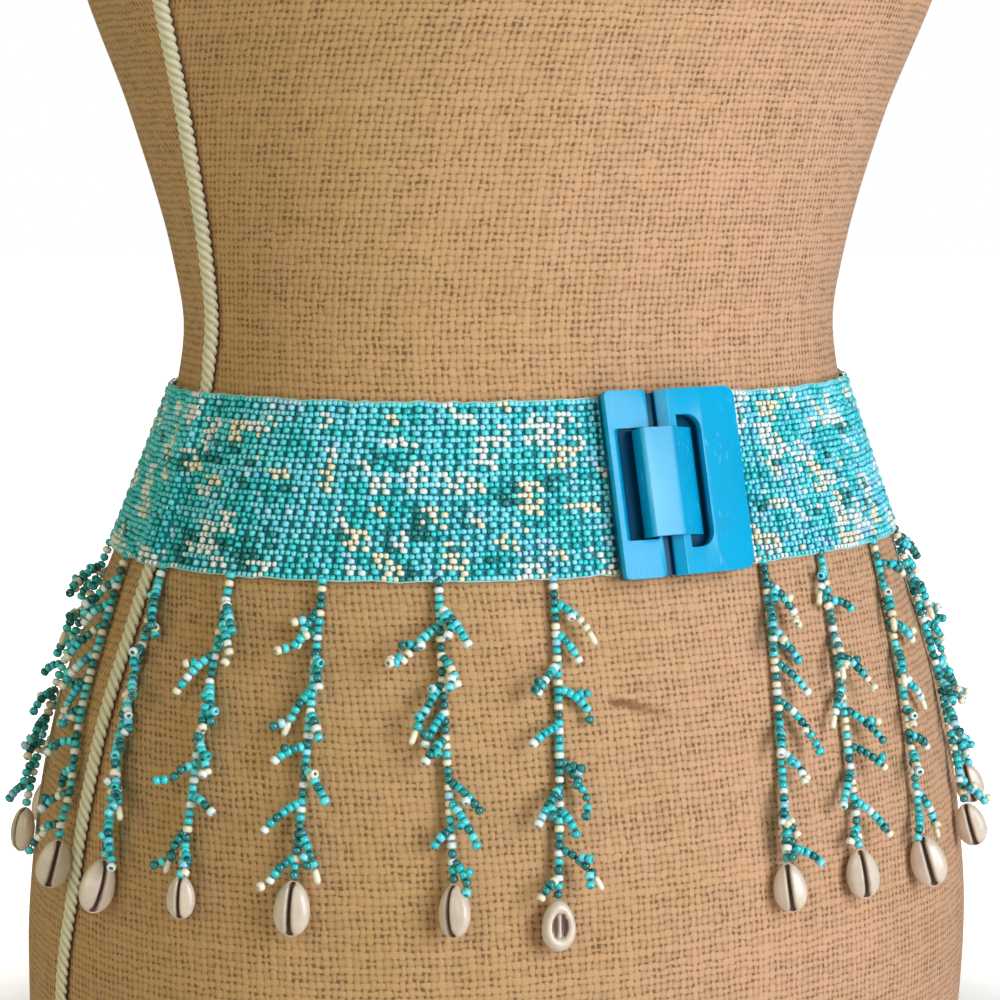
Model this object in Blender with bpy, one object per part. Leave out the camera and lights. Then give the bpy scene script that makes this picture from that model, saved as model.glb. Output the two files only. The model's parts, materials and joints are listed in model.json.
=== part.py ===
"""Beaded belt with a branched fringe and cowries, worn on a limbless dress form.

Metres, +Z up. The form stands on its flat base at Z = 0, its axis is the Z axis and its front faces -Y.
An angle runs round that axis: 0 is the wearer's left side (+X), 90 the back, 180 the right side, 270 the front.
"""

import bisect
import math
import random
from collections import namedtuple

import bmesh
import bpy
from mathutils import Vector

Level = namedtuple("Level", "height half_width front back")
SeamPoint = namedtuple("SeamPoint", "height angle")
Strand = namedtuple("Strand", "cell length lean turn shell seed")
Branch = namedtuple("Branch", "place side reach drop rise")

# Dress form: half width, and depth in front of and behind the axis, level by level
FORM_LEVELS = [
    Level(0.000, 0.1610, 0.1160, 0.1380),
    Level(0.030, 0.1665, 0.1225, 0.1430),
    Level(0.070, 0.1668, 0.1268, 0.1428),
    Level(0.110, 0.1637, 0.1240, 0.1405),
    Level(0.150, 0.1565, 0.1168, 0.1335),
    Level(0.190, 0.1422, 0.1078, 0.1175),
    Level(0.225, 0.1288, 0.0993, 0.1020),
    Level(0.245, 0.1214, 0.0942, 0.0940),
    Level(0.262, 0.1157, 0.0902, 0.0883),
    Level(0.278, 0.1140, 0.0888, 0.0863),
    Level(0.300, 0.1172, 0.0917, 0.0894),
    Level(0.345, 0.1295, 0.1011, 0.1017),
    Level(0.400, 0.1480, 0.1140, 0.1180),
    Level(0.435, 0.1530, 0.1150, 0.1210),
    Level(0.475, 0.1550, 0.1080, 0.1200),
    Level(0.515, 0.1580, 0.0980, 0.1160),
    Level(0.550, 0.1720, 0.0890, 0.1080),
    Level(0.585, 0.1770, 0.0800, 0.0970),
    Level(0.612, 0.1700, 0.0710, 0.0850),
    Level(0.630, 0.1520, 0.0630, 0.0750),
    Level(0.643, 0.1210, 0.0570, 0.0680),
    Level(0.653, 0.0880, 0.0530, 0.0630),
    Level(0.664, 0.0640, 0.0510, 0.0600),
    Level(0.680, 0.0560, 0.0500, 0.0580),
    Level(0.702, 0.0550, 0.0510, 0.0570),
    Level(0.706, 0.0520, 0.0480, 0.0540),
]
SECTION_SQUARENESS = 2.2
ARM_PLATE_AT = 0.1560
ARM_PLATE_SOFTNESS = 0.0030
BUST_HEIGHT = 0.4350
BUST_SPREAD = 0.0700
BUST_RADIUS = 0.0620
BUST_RISE = 0.0210

# Rings of the form's solid away from the belt, and its number of sides
FORM_RING_HEIGHTS = [
    0.0, 0.03, 0.065, 0.095, 0.125, 0.15, 0.172, 0.19, 0.27, 0.295, 0.33, 0.37,
    0.4, 0.425, 0.45, 0.48, 0.512, 0.545, 0.585, 0.612, 0.63, 0.643, 0.653, 0.666, 0.702, 0.706,
]
FORM_SIDES = 48
SIDE_ANGLE = 360.0 / FORM_SIDES

# Piping cord sewn down both side seams, as points of the right-hand seam
SEAM = [
    SeamPoint(0.000, 177.0),
    SeamPoint(0.060, 178.5),
    SeamPoint(0.110, 180.5),
    SeamPoint(0.160, 181.5),
    SeamPoint(0.200, 181.0),
    SeamPoint(0.262, 181.0),
    SeamPoint(0.300, 183.0),
    SeamPoint(0.345, 186.5),
    SeamPoint(0.400, 190.0),
    SeamPoint(0.560, 190.0),
]
PIPING_WIDTH = 0.0068
PIPING_HEIGHT = 0.0024
PIPING_GAP = 0.00045
PIPING_BOTTOM = 0.0030
PIPING_TOP = 0.5100

# Beaded band: a net of beads, 15 cells high and 188 round, open only under the buckle
BAND_TOP = 0.2590
BAND_BOTTOM = 0.2055
BAND_GAP = 0.0006
BEAD = 0.0028
EDGE_ROW = 0.0032
PART_GAP = 0.0003
BAND_LAYERS = 6
CELLS_ROUND = 188
PIPING_COVER = 0.0026
COVER_FLAT = 0.0035
COVER_END = 0.0100
COVER_STATIONS = (-5.5, -3.6, -1.9, 0.0, 1.9, 3.6, 5.5)

# Buckle: two moulded plates. The left one's tongue comes up through the right one's slot and folds back over its bar
BUCKLE_ANGLE = 268.3
BUCKLE_LEFT = -0.0240
BUCKLE_RIGHT = 0.0220
BUCKLE_HALF_HEIGHT = 0.0292
PLATE_LIFT = BAND_GAP + BEAD + 0.0006
LEFT_TUCK = 0.0070
RIGHT_TUCK = 0.0090
HOOK_PLATE = {"right": -0.0102, "thick": 0.0046, "corner": 0.0015}
FLANGE = {"right": -0.0020, "half_height": 0.0285, "thick": 0.0011}
POCKET = {"left": -0.0225, "right": -0.0112, "half_height": 0.0174, "floor": 0.0009}
TONGUE_HALF_HEIGHT = 0.0168
TONGUE_PROFILE = [
    (-0.0107, 0.0002),
    (-0.0107, 0.0011),
    (-0.0003, 0.0011),
    (-0.0003, 0.0056),
    (-0.0133, 0.0056),
    (-0.0136, 0.0026),
    (-0.0153, 0.0026),
    (-0.0153, 0.0077),
    (-0.0143, 0.0088),
    (-0.0054, 0.0088),
    (-0.0042, 0.0082),
    (0.0058, 0.0024),
    (0.0064, 0.0002),
]
SLOT_PLATE = {"left": -0.0058, "thick": 0.0052, "corner": 0.0038, "chamfer": 0.0026}
RELIEF = {"right": 0.0, "depth": 0.0015}
SLOT = {"left": -0.0007, "right": 0.0079, "half_height": 0.0208, "corner": 0.0050}
EDGE_ROUND = 0.0007
CURVE_CUTS = (-0.0180, 0.0065, 0.0125, 0.0170)

# Fringe: strands of beads about every ninth cell, each with side branches and a cowrie at its end
STRANDS = [
    Strand(5, 0.0930, -2.4, 180, 1.05, 3),
    Strand(14, 0.0865, 0.8, -49, 1.08, 5),
    Strand(23, 0.0855, -1.2, -5, 1.12, 7),
    Strand(31, 0.0870, 0.5, 11, 0.90, 11),
    Strand(39, 0.0870, 4.0, 80, 1.14, 13),
    Strand(46, 0.0850, 6.5, 66, 1.05, 17),
    Strand(54, 0.0850, 5.0, 25, 1.00, 19),
    Strand(64, 0.0890, 2.0, 160, 1.06, 23),
    Strand(75, 0.0930, -0.8, 20, 0.94, 29),
    Strand(86, 0.0910, 1.4, -50, 1.10, 31),
    Strand(96, 0.0920, -0.6, 5, 1.02, 37),
    Strand(105, 0.0900, 0.4, 170, 1.00, 41),
    Strand(114, 0.0930, -1.0, 30, 1.08, 43),
    Strand(123, 0.0910, 0.8, -25, 0.95, 47),
    Strand(134, 0.0890, -1.6, 45, 1.04, 53),
    Strand(144, 0.0910, -2.4, -15, 1.10, 59),
    Strand(153, 0.0870, -4.5, -100, 1.00, 61),
    Strand(161, 0.0920, -5.0, -85, 1.02, 67),
    Strand(170, 0.0940, -5.0, -62, 1.16, 71),
    Strand(179, 0.0920, -2.7, -31, 1.08, 73),
    Strand(186, 0.0915, -3.0, -42, 1.04, 79),
]
GROUP_SIZES = (4, 3, 4, 3, 4, 3)
STEM_RADIUS = 0.0016
STEM_ROOT = 0.0015
END_LIFT = 0.0026
HANG_STEPS = 8
BRANCHES = 10
BRANCH_ROOT = 0.0026
BRANCH_TIP_SHARE = 0.7
BRANCH_CLEAR_OF_SEAM = 0.0200
COWRIE_LENGTH = 0.0148
COWRIE_WIDTH = 0.0100
COWRIE_DEPTH = 0.0074


def clear_scene():
    for item in list(bpy.data.objects):
        bpy.data.objects.remove(item, do_unlink=True)


def plain_material(name, colour, roughness, metallic=0.0):
    material = bpy.data.materials.new(name)
    material.use_nodes = True
    shader = material.node_tree.nodes["Principled BSDF"]
    shader.inputs["Base Color"].default_value = (*colour, 1.0)
    shader.inputs["Roughness"].default_value = roughness
    shader.inputs["Metallic"].default_value = metallic
    return material


def read_table(rows, column, height):
    """One column of a table at any height: a cubic through its rows that never overshoots them."""
    heights = [row.height for row in rows]
    values = [getattr(row, column) for row in rows]
    height = min(max(height, heights[0]), heights[-1])
    at = min(max(bisect.bisect_right(heights, height) - 1, 0), len(rows) - 2)

    def rate(index):
        return (values[index + 1] - values[index]) / (heights[index + 1] - heights[index])

    def slope(index):
        if index == 0 or index == len(rows) - 1:
            return rate(min(index, len(rows) - 2))
        before, after = rate(index - 1), rate(index)
        return 0.0 if before * after <= 0 else 2 * before * after / (before + after)

    step = heights[at + 1] - heights[at]
    t = (height - heights[at]) / step
    return (
        (2 * t**3 - 3 * t**2 + 1) * values[at]
        + (t**3 - 2 * t**2 + t) * step * slope(at)
        + (3 * t**2 - 2 * t**3) * values[at + 1]
        + (t**3 - t**2) * step * slope(at + 1)
    )


def signed_power(value, power):
    return math.copysign(abs(value) ** power, value)


def soft_limit(value, limit, softness):
    """value, held under limit with a rounded knee."""
    return value - softness * math.log1p(math.exp((value - limit) / softness))


def form_point(angle, height, offset=0.0):
    """A point of the form's surface, or of a surface that lies offset outside it."""
    turn = math.radians(angle)
    power = 2.0 / SECTION_SQUARENESS
    across = signed_power(math.cos(turn), power)
    along = signed_power(math.sin(turn), power)
    side = "front" if along < 0 else "back"
    x = (read_table(FORM_LEVELS, "half_width", height) + offset) * across
    y = (read_table(FORM_LEVELS, side, height) + offset) * along
    x = math.copysign(soft_limit(abs(x), ARM_PLATE_AT + offset, ARM_PLATE_SOFTNESS), x) if height > 0.45 else x
    if along < 0:
        for middle in (-BUST_SPREAD, BUST_SPREAD):
            away = math.hypot(x - middle, height - BUST_HEIGHT) / BUST_RADIUS
            y -= BUST_RISE * math.exp(-away * away)
    return Vector((x, y, height))


def surface_frame(angle, height, offset=0.0):
    """A point, the direction of rising angle, the downhill direction and the outward normal there."""
    point = form_point(angle, height, offset)
    sideways = (form_point(angle + 0.5, height, offset) - form_point(angle - 0.5, height, offset)).normalized()
    down = (form_point(angle, height - 0.001, offset) - form_point(angle, height + 0.001, offset)).normalized()
    return point, sideways, down, sideways.cross(down).normalized() * -1.0


def angle_moved(angle, height, distance):
    """The angle reached by going distance round the form, towards rising angles if it is positive."""
    steps = 12
    for _ in range(steps):
        reach = (form_point(angle + 0.5, height) - form_point(angle - 0.5, height)).length
        angle += distance / steps / reach
    return angle


def seam_angles(height):
    right = read_table(SEAM, "angle", height)
    return right, 180.0 - right


def arc_between(first, second, height):
    """Signed distance from one angle to a near one, round the form."""
    turn = (second - first + 180.0) % 360.0 - 180.0
    middle = first + turn / 2
    return turn * (form_point(middle + 0.5, height) - form_point(middle - 0.5, height)).length


def cover(angle, height):
    """How far the belt is lifted where it passes over a seam's piping."""
    nearest = min(abs(arc_between(seam, angle, height)) for seam in seam_angles(height))
    t = min(max((COVER_END - nearest) / (COVER_END - COVER_FLAT), 0.0), 1.0)
    return PIPING_COVER * t * t * (3 - 2 * t)


def band_ends(left_tuck, right_tuck):
    """First and last angle of the band: it runs from the buckle's right edge, round the back, to its left edge."""
    middle = (BAND_TOP + BAND_BOTTOM) / 2
    first = angle_moved(BUCKLE_ANGLE, middle, BUCKLE_RIGHT - right_tuck) - 360.0
    last = angle_moved(BUCKLE_ANGLE, middle, BUCKLE_LEFT + left_tuck)
    return first, last


def wall_stations(first, last):
    """Angles at which the wall is shaped: the form's own edges, and closer ones over the piping."""
    middle = (BAND_TOP + BAND_BOTTOM) / 2
    close = [seam + step for seam in seam_angles(middle) for step in COVER_STATIONS]
    sides = [SIDE_ANGLE * n for n in range(-FORM_SIDES, FORM_SIDES)]
    kept = close + [side for side in sides if min(abs(side - angle) for angle in close) > 1.2]
    inside = [angle for angle in kept if first + 1.0 < angle < last - 1.0]
    return sorted([first, last] + inside)


def swept_solid(name, rings, material):
    """A closed solid: quads from ring to ring, and a face over each end."""
    mesh = bmesh.new()
    loops = [[mesh.verts.new(point) for point in ring] for ring in rings]
    for near, far in zip(loops, loops[1:]):
        for n in range(len(near)):
            mesh.faces.new((near[n - 1], near[n], far[n], far[n - 1]))
    mesh.faces.new(loops[0])
    mesh.faces.new(loops[-1])
    return finished(name, mesh, material)


def finished(name, mesh, material):
    mesh.normal_update()
    bmesh.ops.recalc_face_normals(mesh, faces=mesh.faces)
    data = bpy.data.meshes.new(name)
    mesh.to_mesh(data)
    mesh.free()
    item = bpy.data.objects.new(name, data)
    bpy.context.scene.collection.objects.link(item)
    data.materials.append(material)
    data.shade_smooth()
    return item


def helper(item):
    item.hide_render = True
    item.display_type = "WIRE"
    return item


def boolean(target, other, operation):
    modifier = target.modifiers.new(other.name, "BOOLEAN")
    modifier.operation = operation
    modifier.object = helper(other)


def belt_heights():
    return [BAND_TOP + (BAND_BOTTOM + EDGE_ROW - BAND_TOP) * n / BAND_LAYERS for n in range(BAND_LAYERS + 1)]


def form_heights():
    return sorted(FORM_RING_HEIGHTS + belt_heights() + [BAND_BOTTOM])


def dress_form(material):
    heights = form_heights()
    angles = [SIDE_ANGLE * n for n in range(FORM_SIDES)]
    rings = [[form_point(angle, height) for angle in angles] for height in heights]
    return swept_solid("dress_form", rings, material)


def piping(name, side, material):
    """Cord with a flat underside that follows a side seam from the base to the armhole."""
    half, high = PIPING_WIDTH / 2, PIPING_HEIGHT
    profile = [(-half, 0.0), (-0.9 * half, 0.6 * high), (-0.4 * half, high)]
    profile += [(-across, out) for across, out in reversed(profile)]
    inside = [height for height in form_heights() if PIPING_BOTTOM < height < PIPING_TOP]
    rings = []
    for height in [PIPING_BOTTOM] + inside + [PIPING_TOP]:
        point, sideways, _, out = surface_frame(seam_angles(height)[side], height, PIPING_GAP)
        rings.append([point + sideways * across + out * rise for across, rise in profile])
    return swept_solid(name, rings, material)


def wall_section(angle, heights):
    """One upright section of the wall: down its outer face and up its inner one."""
    lifts = [cover(angle, height) + BAND_GAP for height in heights]
    outer = [form_point(angle, height, lift + BEAD) for height, lift in zip(heights, lifts)]
    inner = [form_point(angle, height, lift) for height, lift in zip(heights, lifts)]
    return outer + inner[::-1]


def beaded_band(material):
    stations = wall_stations(*band_ends(LEFT_TUCK, RIGHT_TUCK))
    return swept_solid("beaded_band", [wall_section(angle, belt_heights()) for angle in stations], material)


def cell_angles():
    """Angle of each cell line of the net, from the buckle's left edge round the back to its right edge."""
    first, last = band_ends(0.0, 0.0)
    height = (BAND_TOP + BAND_BOTTOM) / 2
    steps = 720
    angles = [last + (first - last) * n / steps for n in range(steps + 1)]
    points = [form_point(angle, height) for angle in angles]
    run = [0.0]
    for here, there in zip(points, points[1:]):
        run.append(run[-1] + (there - here).length)
    found = []
    for cell in range(CELLS_ROUND + 1):
        wanted = run[-1] * cell / CELLS_ROUND
        at = min(max(bisect.bisect_right(run, wanted) - 1, 0), steps - 1)
        share = (wanted - run[at]) / (run[at + 1] - run[at])
        found.append(angles[at] + (angles[at + 1] - angles[at]) * share)
    return found


def hanging_angle(start_angle, height):
    """Angle that a thread hanging over the form from the band's lower edge has come to at a height."""
    angle = start_angle
    drop = (height - BAND_BOTTOM) / HANG_STEPS
    for n in range(HANG_STEPS):
        level = BAND_BOTTOM + drop * (n + 0.5)
        sideways = form_point(angle + 0.5, level) - form_point(angle - 0.5, level)
        upwards = form_point(angle, level + 0.001) - form_point(angle, level - 0.001)
        angle -= sideways.dot(upwards) / sideways.dot(sideways) * drop / 0.002
    return angle


def strand_place(strand, start_angle, share):
    """Angle, height and lift of a strand's middle line, share of the way from its root to its end."""
    height = BAND_BOTTOM + STEM_ROOT - (strand.length + STEM_ROOT) * share
    angle = hanging_angle(start_angle, height) + strand.lean * share**1.5
    lift = cover(angle, height) + BAND_GAP + STEM_RADIUS + END_LIFT * share**4
    return angle, height, lift


def branch_list(strand, start_angle):
    """Side branches of one strand: place along it, side, reach sideways, drop and rise off the form."""
    chance = random.Random(strand.seed)
    side = chance.choice((-1, 1))
    branches = []
    for n in range(BRANCHES):
        place = (n + 0.85 + chance.uniform(-0.25, 0.25)) / (BRANCHES + 0.6)
        side = -side if chance.random() < 0.7 else side
        reach = chance.uniform(0.0045, 0.0100)
        drop = min(chance.uniform(0.0040, 0.0140), strand.length * (1.0 - place) + 0.0010)
        rise = chance.uniform(0.0005, 0.0065)
        angle, height, _ = strand_place(strand, start_angle, place)
        for seam in seam_angles(height):
            away = arc_between(angle, seam, height)
            if 0 < away * side < BRANCH_CLEAR_OF_SEAM and abs(away) > COVER_FLAT:
                side = -side
        branches.append(Branch(place, side, reach, drop, rise))
    return branches


def strand_stem(name, strand, start_angle, material):
    """Three-sided stem; each branch is extruded from a short stretch of its left or right face."""
    root_share = BRANCH_ROOT / 2 / (strand.length + STEM_ROOT)
    branches = branch_list(strand, start_angle)
    shares = sorted([0.0, 1.0] + [b.place + step * root_share for b in branches for step in (-1, 1)])
    rings = []
    for share in shares:
        angle, height, lift = strand_place(strand, start_angle, share)
        point, sideways, _, out = surface_frame(angle, height, lift)
        back = point - out * (STEM_RADIUS / 2)
        half = sideways * (STEM_RADIUS * 0.87)
        rings.append([point + out * STEM_RADIUS, back + half, back - half])
    stem = swept_solid(name, rings, material)
    mesh = bmesh.new()
    mesh.from_mesh(stem.data)
    for branch in branches:
        grow_branch(mesh, branch, strand, start_angle, root_share)
    mesh.normal_update()
    bmesh.ops.recalc_face_normals(mesh, faces=mesh.faces)
    mesh.to_mesh(stem.data)
    mesh.free()
    return stem


def grow_branch(mesh, branch, strand, start_angle, root_share):
    angle, height, lift = strand_place(strand, start_angle, branch.place)
    point, sideways, _, out = surface_frame(angle, height, lift)
    looked_for = point + out * (STEM_RADIUS / 4) + sideways * (branch.side * STEM_RADIUS * 0.45)
    face = min(mesh.faces, key=lambda item: (item.calc_center_median() - looked_for).length)
    tip = bmesh.ops.extrude_discrete_faces(mesh, faces=[face])["faces"][0]
    centre = tip.calc_center_median()
    end_angle = angle_moved(angle, height, branch.side * branch.reach)
    end = form_point(end_angle, height - branch.drop, lift + branch.rise)
    for vertex in tip.verts:
        vertex.co = end + (vertex.co - centre) * BRANCH_TIP_SHARE


def cowrie(name, strand, start_angle, material):
    """Egg-shaped shell, hung by its narrow end below its strand, its flat mouth turned by the strand's turn."""
    mesh = bmesh.new()
    bmesh.ops.create_uvsphere(mesh, u_segments=10, v_segments=7, radius=1.0)
    half_width, half_depth, half_length = (
        size / 2 * strand.shell for size in (COWRIE_WIDTH, COWRIE_DEPTH, COWRIE_LENGTH)
    )
    angle, height, lift = strand_place(strand, start_angle, 1.0)
    end, sideways, down, out = surface_frame(angle, height, lift)
    turn = math.radians(strand.turn)
    reach = math.hypot(1.1 * half_width * math.sin(turn), 1.15 * half_depth * math.cos(turn))
    low = height - 1.1 * half_length
    belly = form_point(angle, low, cover(angle, low) + BAND_GAP + reach)
    axis = (belly - end).normalized()
    place = end + axis * (PART_GAP + half_length)
    mouth = out * math.cos(turn) + sideways * math.sin(turn)
    mouth = (mouth - axis * mouth.dot(axis)).normalized()
    across = mouth.cross(axis)
    for vertex in mesh.verts:
        x, y, z = vertex.co
        wide = half_width * (1.0 - 0.14 * z)
        deep = half_depth * (0.80 if y > 0 else 1.05)
        vertex.co = place + across * (x * wide) + mouth * (y * deep) - axis * (z * half_length)
    return finished(name, mesh, material)


def fringe_groups(material):
    """The band's lowest row of beads, parted from it, with its strands fused on, in six lengths."""
    angles = cell_angles()
    first, last = band_ends(LEFT_TUCK, RIGHT_TUCK)
    heights = [BAND_BOTTOM + EDGE_ROW - PART_GAP, BAND_BOTTOM]
    gap = math.degrees(PART_GAP / 2 / read_table(FORM_LEVELS, "half_width", BAND_BOTTOM))
    start = 0
    high = last
    for group, size in enumerate(GROUP_SIZES):
        end = start + size
        if end < len(STRANDS):
            parting = angles[(STRANDS[end - 1].cell + STRANDS[end].cell) // 2]
            low = parting + gap
        else:
            low = first
        sections = [wall_section(angle, heights) for angle in wall_stations(low, high)]
        strip = swept_solid(f"fringe_{group + 1}", sections, material)
        for n in range(start, end):
            stem = strand_stem(f"strand_{n + 1:02d}", STRANDS[n], angles[STRANDS[n].cell], material)
            boolean(strip, stem, "UNION")
        start = end
        high = parting - gap


def cowries(material):
    angles = cell_angles()
    for n, strand in enumerate(STRANDS):
        cowrie(f"cowrie_{n + 1:02d}", strand, angles[strand.cell], material)


def buckle_point(across, up, out):
    """A point of the buckle: distance right of its middle, distance up it, height over its back face."""
    middle = (BAND_TOP + BAND_BOTTOM) / 2
    top = form_point(BUCKLE_ANGLE, BAND_TOP, PLATE_LIFT)
    bottom = form_point(BUCKLE_ANGLE, BAND_BOTTOM, PLATE_LIFT)
    upwards = (top - bottom).normalized()
    angle = angle_moved(BUCKLE_ANGLE, middle, across)
    near = form_point(angle + 1.0, middle, PLATE_LIFT) - form_point(angle - 1.0, middle, PLATE_LIFT)
    outwards = near.cross(upwards).normalized()
    lift = (top + bottom) / 2 - form_point(BUCKLE_ANGLE, middle, PLATE_LIFT)
    return form_point(angle, middle, PLATE_LIFT) + lift + upwards * up + outwards * out


def block(name, left, right, half_height, low, high, material, corner=0.0, corners_right_of=-1.0):
    """A box in the buckle's own directions; its upright corners right of a line can be rounded."""
    mesh = bmesh.new()
    bmesh.ops.create_cube(mesh, size=1.0)
    for vertex in mesh.verts:
        x, y, z = vertex.co
        vertex.co = (right if x > 0 else left, math.copysign(half_height, y), high if z > 0 else low)
    if corner:
        upright = [e for e in mesh.edges if abs(e.verts[0].co.z - e.verts[1].co.z) > abs(high - low) / 2]
        chosen = [e for e in upright if e.verts[0].co.x > corners_right_of]
        bmesh.ops.bevel(mesh, geom=chosen, offset=corner, segments=3, profile=0.5, affect="EDGES")
    return finished(name, mesh, material)


def rounded_edges(item):
    bevel = item.modifiers.new("soft edges", "BEVEL")
    bevel.width = EDGE_ROUND
    bevel.segments = 1
    bevel.limit_method = "ANGLE"
    bevel.angle_limit = math.radians(50)


def curved_onto_band(item):
    """Takes the piece's modifiers as they are and lays it on the band, cut across so that it can curve."""
    depsgraph = bpy.context.evaluated_depsgraph_get()
    mesh = bmesh.new()
    mesh.from_object(item, depsgraph)
    for cut in CURVE_CUTS:
        everything = mesh.verts[:] + mesh.edges[:] + mesh.faces[:]
        bmesh.ops.bisect_plane(mesh, geom=everything, dist=1e-6, plane_co=(cut, 0, 0), plane_no=(1, 0, 0))
    for vertex in mesh.verts:
        vertex.co = buckle_point(*vertex.co)
    item.modifiers.clear()
    mesh.to_mesh(item.data)
    mesh.free()
    item.data.shade_smooth()
    item.data.set_sharp_from_angle(angle=math.radians(25))


def hook_plate(material):
    size = HOOK_PLATE
    plate = block(
        "hook_plate", BUCKLE_LEFT, size["right"], BUCKLE_HALF_HEIGHT, 0.0, size["thick"], material,
        size["corner"],
    )
    rounded_edges(plate)
    flange = block(
        "flange", size["right"] - 0.0006, FLANGE["right"], FLANGE["half_height"], 0.0002, FLANGE["thick"], material,
    )
    boolean(plate, flange, "UNION")
    rings = [
        [(across, up, out) for across, out in TONGUE_PROFILE] for up in (-TONGUE_HALF_HEIGHT, TONGUE_HALF_HEIGHT)
    ]
    pocket = block(
        "pocket", POCKET["left"], POCKET["right"], POCKET["half_height"], POCKET["floor"], 3 * size["thick"], material,
    )
    boolean(plate, pocket, "DIFFERENCE")
    boolean(plate, swept_solid("tongue", rings, material), "UNION")
    curved_onto_band(plate)


def slot_plate(material):
    """Flat plate with a chamfered bar on its left, a D-shaped slot, and room under the bar for the left plate."""
    left = SLOT_PLATE["left"]
    high = SLOT_PLATE["thick"]
    tall = BUCKLE_HALF_HEIGHT - 0.0002
    plate = block("slot_plate", left, BUCKLE_RIGHT, tall, 0.0, high, material, SLOT_PLATE["corner"], 0.0)
    mesh = bmesh.new()
    mesh.from_mesh(plate.data)
    edge = [
        edge for edge in mesh.edges
        if all(abs(vertex.co.x - left) < 1e-6 and vertex.co.z > high / 2 for vertex in edge.verts)
    ]
    bmesh.ops.bevel(mesh, geom=edge, offset=SLOT_PLATE["chamfer"], segments=1, profile=0.5, affect="EDGES")
    mesh.to_mesh(plate.data)
    mesh.free()
    rounded_edges(plate)
    relief = block("relief", left - 0.01, RELIEF["right"], 2 * tall, -high, RELIEF["depth"], material)
    boolean(plate, relief, "DIFFERENCE")
    slot = block(
        "slot", SLOT["left"], SLOT["right"], SLOT["half_height"], -high, 2 * high, material, SLOT["corner"], 0.0,
    )
    boolean(plate, slot, "DIFFERENCE")
    curved_onto_band(plate)


def main():
    clear_scene()
    burlap = plain_material("burlap", (0.47, 0.31, 0.17), 0.9)
    cord = plain_material("piping_cord", (0.66, 0.60, 0.43), 0.8)
    beads = plain_material("glass_beads", (0.06, 0.42, 0.45), 0.2)
    plastic = plain_material("blue_plastic", (0.01, 0.40, 0.70), 0.25)
    shell = plain_material("cowrie_shell", (0.80, 0.68, 0.58), 0.25)
    dress_form(burlap)
    piping("piping_right", 0, cord)
    piping("piping_left", 1, cord)
    beaded_band(beads)
    fringe_groups(beads)
    cowries(shell)
    hook_plate(plastic)
    slot_plate(plastic)


main()
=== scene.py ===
"""Looks of a beaded belt with a branched fringe and cowries, worn on a limbless dress form.

Laid out as a Blender add-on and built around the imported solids. Metres, +Z up, the form's front
towards -Y. An angle runs round the form's axis: 0 is the wearer's left side, 90 the back, 180 the
right side, 270 the front.
"""

import bisect
import functools
import itertools
import json
import math
import random
from collections import namedtuple

import bmesh
import bpy
import numpy as np
from bpy.props import FloatProperty, FloatVectorProperty, IntProperty, PointerProperty
from mathutils import Matrix, Vector

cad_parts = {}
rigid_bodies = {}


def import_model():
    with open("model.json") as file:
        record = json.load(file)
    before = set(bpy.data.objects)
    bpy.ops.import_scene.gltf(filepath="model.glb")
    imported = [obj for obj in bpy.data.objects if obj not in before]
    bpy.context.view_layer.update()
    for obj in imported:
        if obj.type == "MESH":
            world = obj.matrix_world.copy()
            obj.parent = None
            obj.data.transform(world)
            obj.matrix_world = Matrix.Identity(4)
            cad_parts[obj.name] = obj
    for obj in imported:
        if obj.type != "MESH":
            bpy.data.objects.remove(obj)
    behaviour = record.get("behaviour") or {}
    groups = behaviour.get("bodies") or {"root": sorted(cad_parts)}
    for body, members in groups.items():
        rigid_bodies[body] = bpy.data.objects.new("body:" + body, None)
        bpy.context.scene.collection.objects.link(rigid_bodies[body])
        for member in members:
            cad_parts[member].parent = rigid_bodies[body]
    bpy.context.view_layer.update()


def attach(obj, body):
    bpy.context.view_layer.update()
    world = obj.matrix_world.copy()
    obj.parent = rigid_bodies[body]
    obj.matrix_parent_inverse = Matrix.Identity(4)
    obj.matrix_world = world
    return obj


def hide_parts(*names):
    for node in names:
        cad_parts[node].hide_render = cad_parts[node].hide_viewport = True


bl_info = {
    "name": "Beaded belt",
    "version": (1, 0, 0),
    "blender": (4, 5, 0),
    "location": "View3D > Sidebar > Beaded belt",
    "description": "Net belt of glass beads with a hook buckle and a cowrie fringe, on a dress form",
    "category": "Add Mesh",
}

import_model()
BODY = "root"

Level = namedtuple("Level", "height half_width front back")
SeamPoint = namedtuple("SeamPoint", "height angle")
Strand = namedtuple("Strand", "cell length lean turn shell seed")
Branch = namedtuple("Branch", "place side reach drop rise")
Bead = namedtuple("Bead", "centre axis out length width finish tone")
Finish = namedtuple("Finish", "name light deep band fringe")
Lamp = namedtuple("Lamp", "name setting turn distance height size colour")

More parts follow.
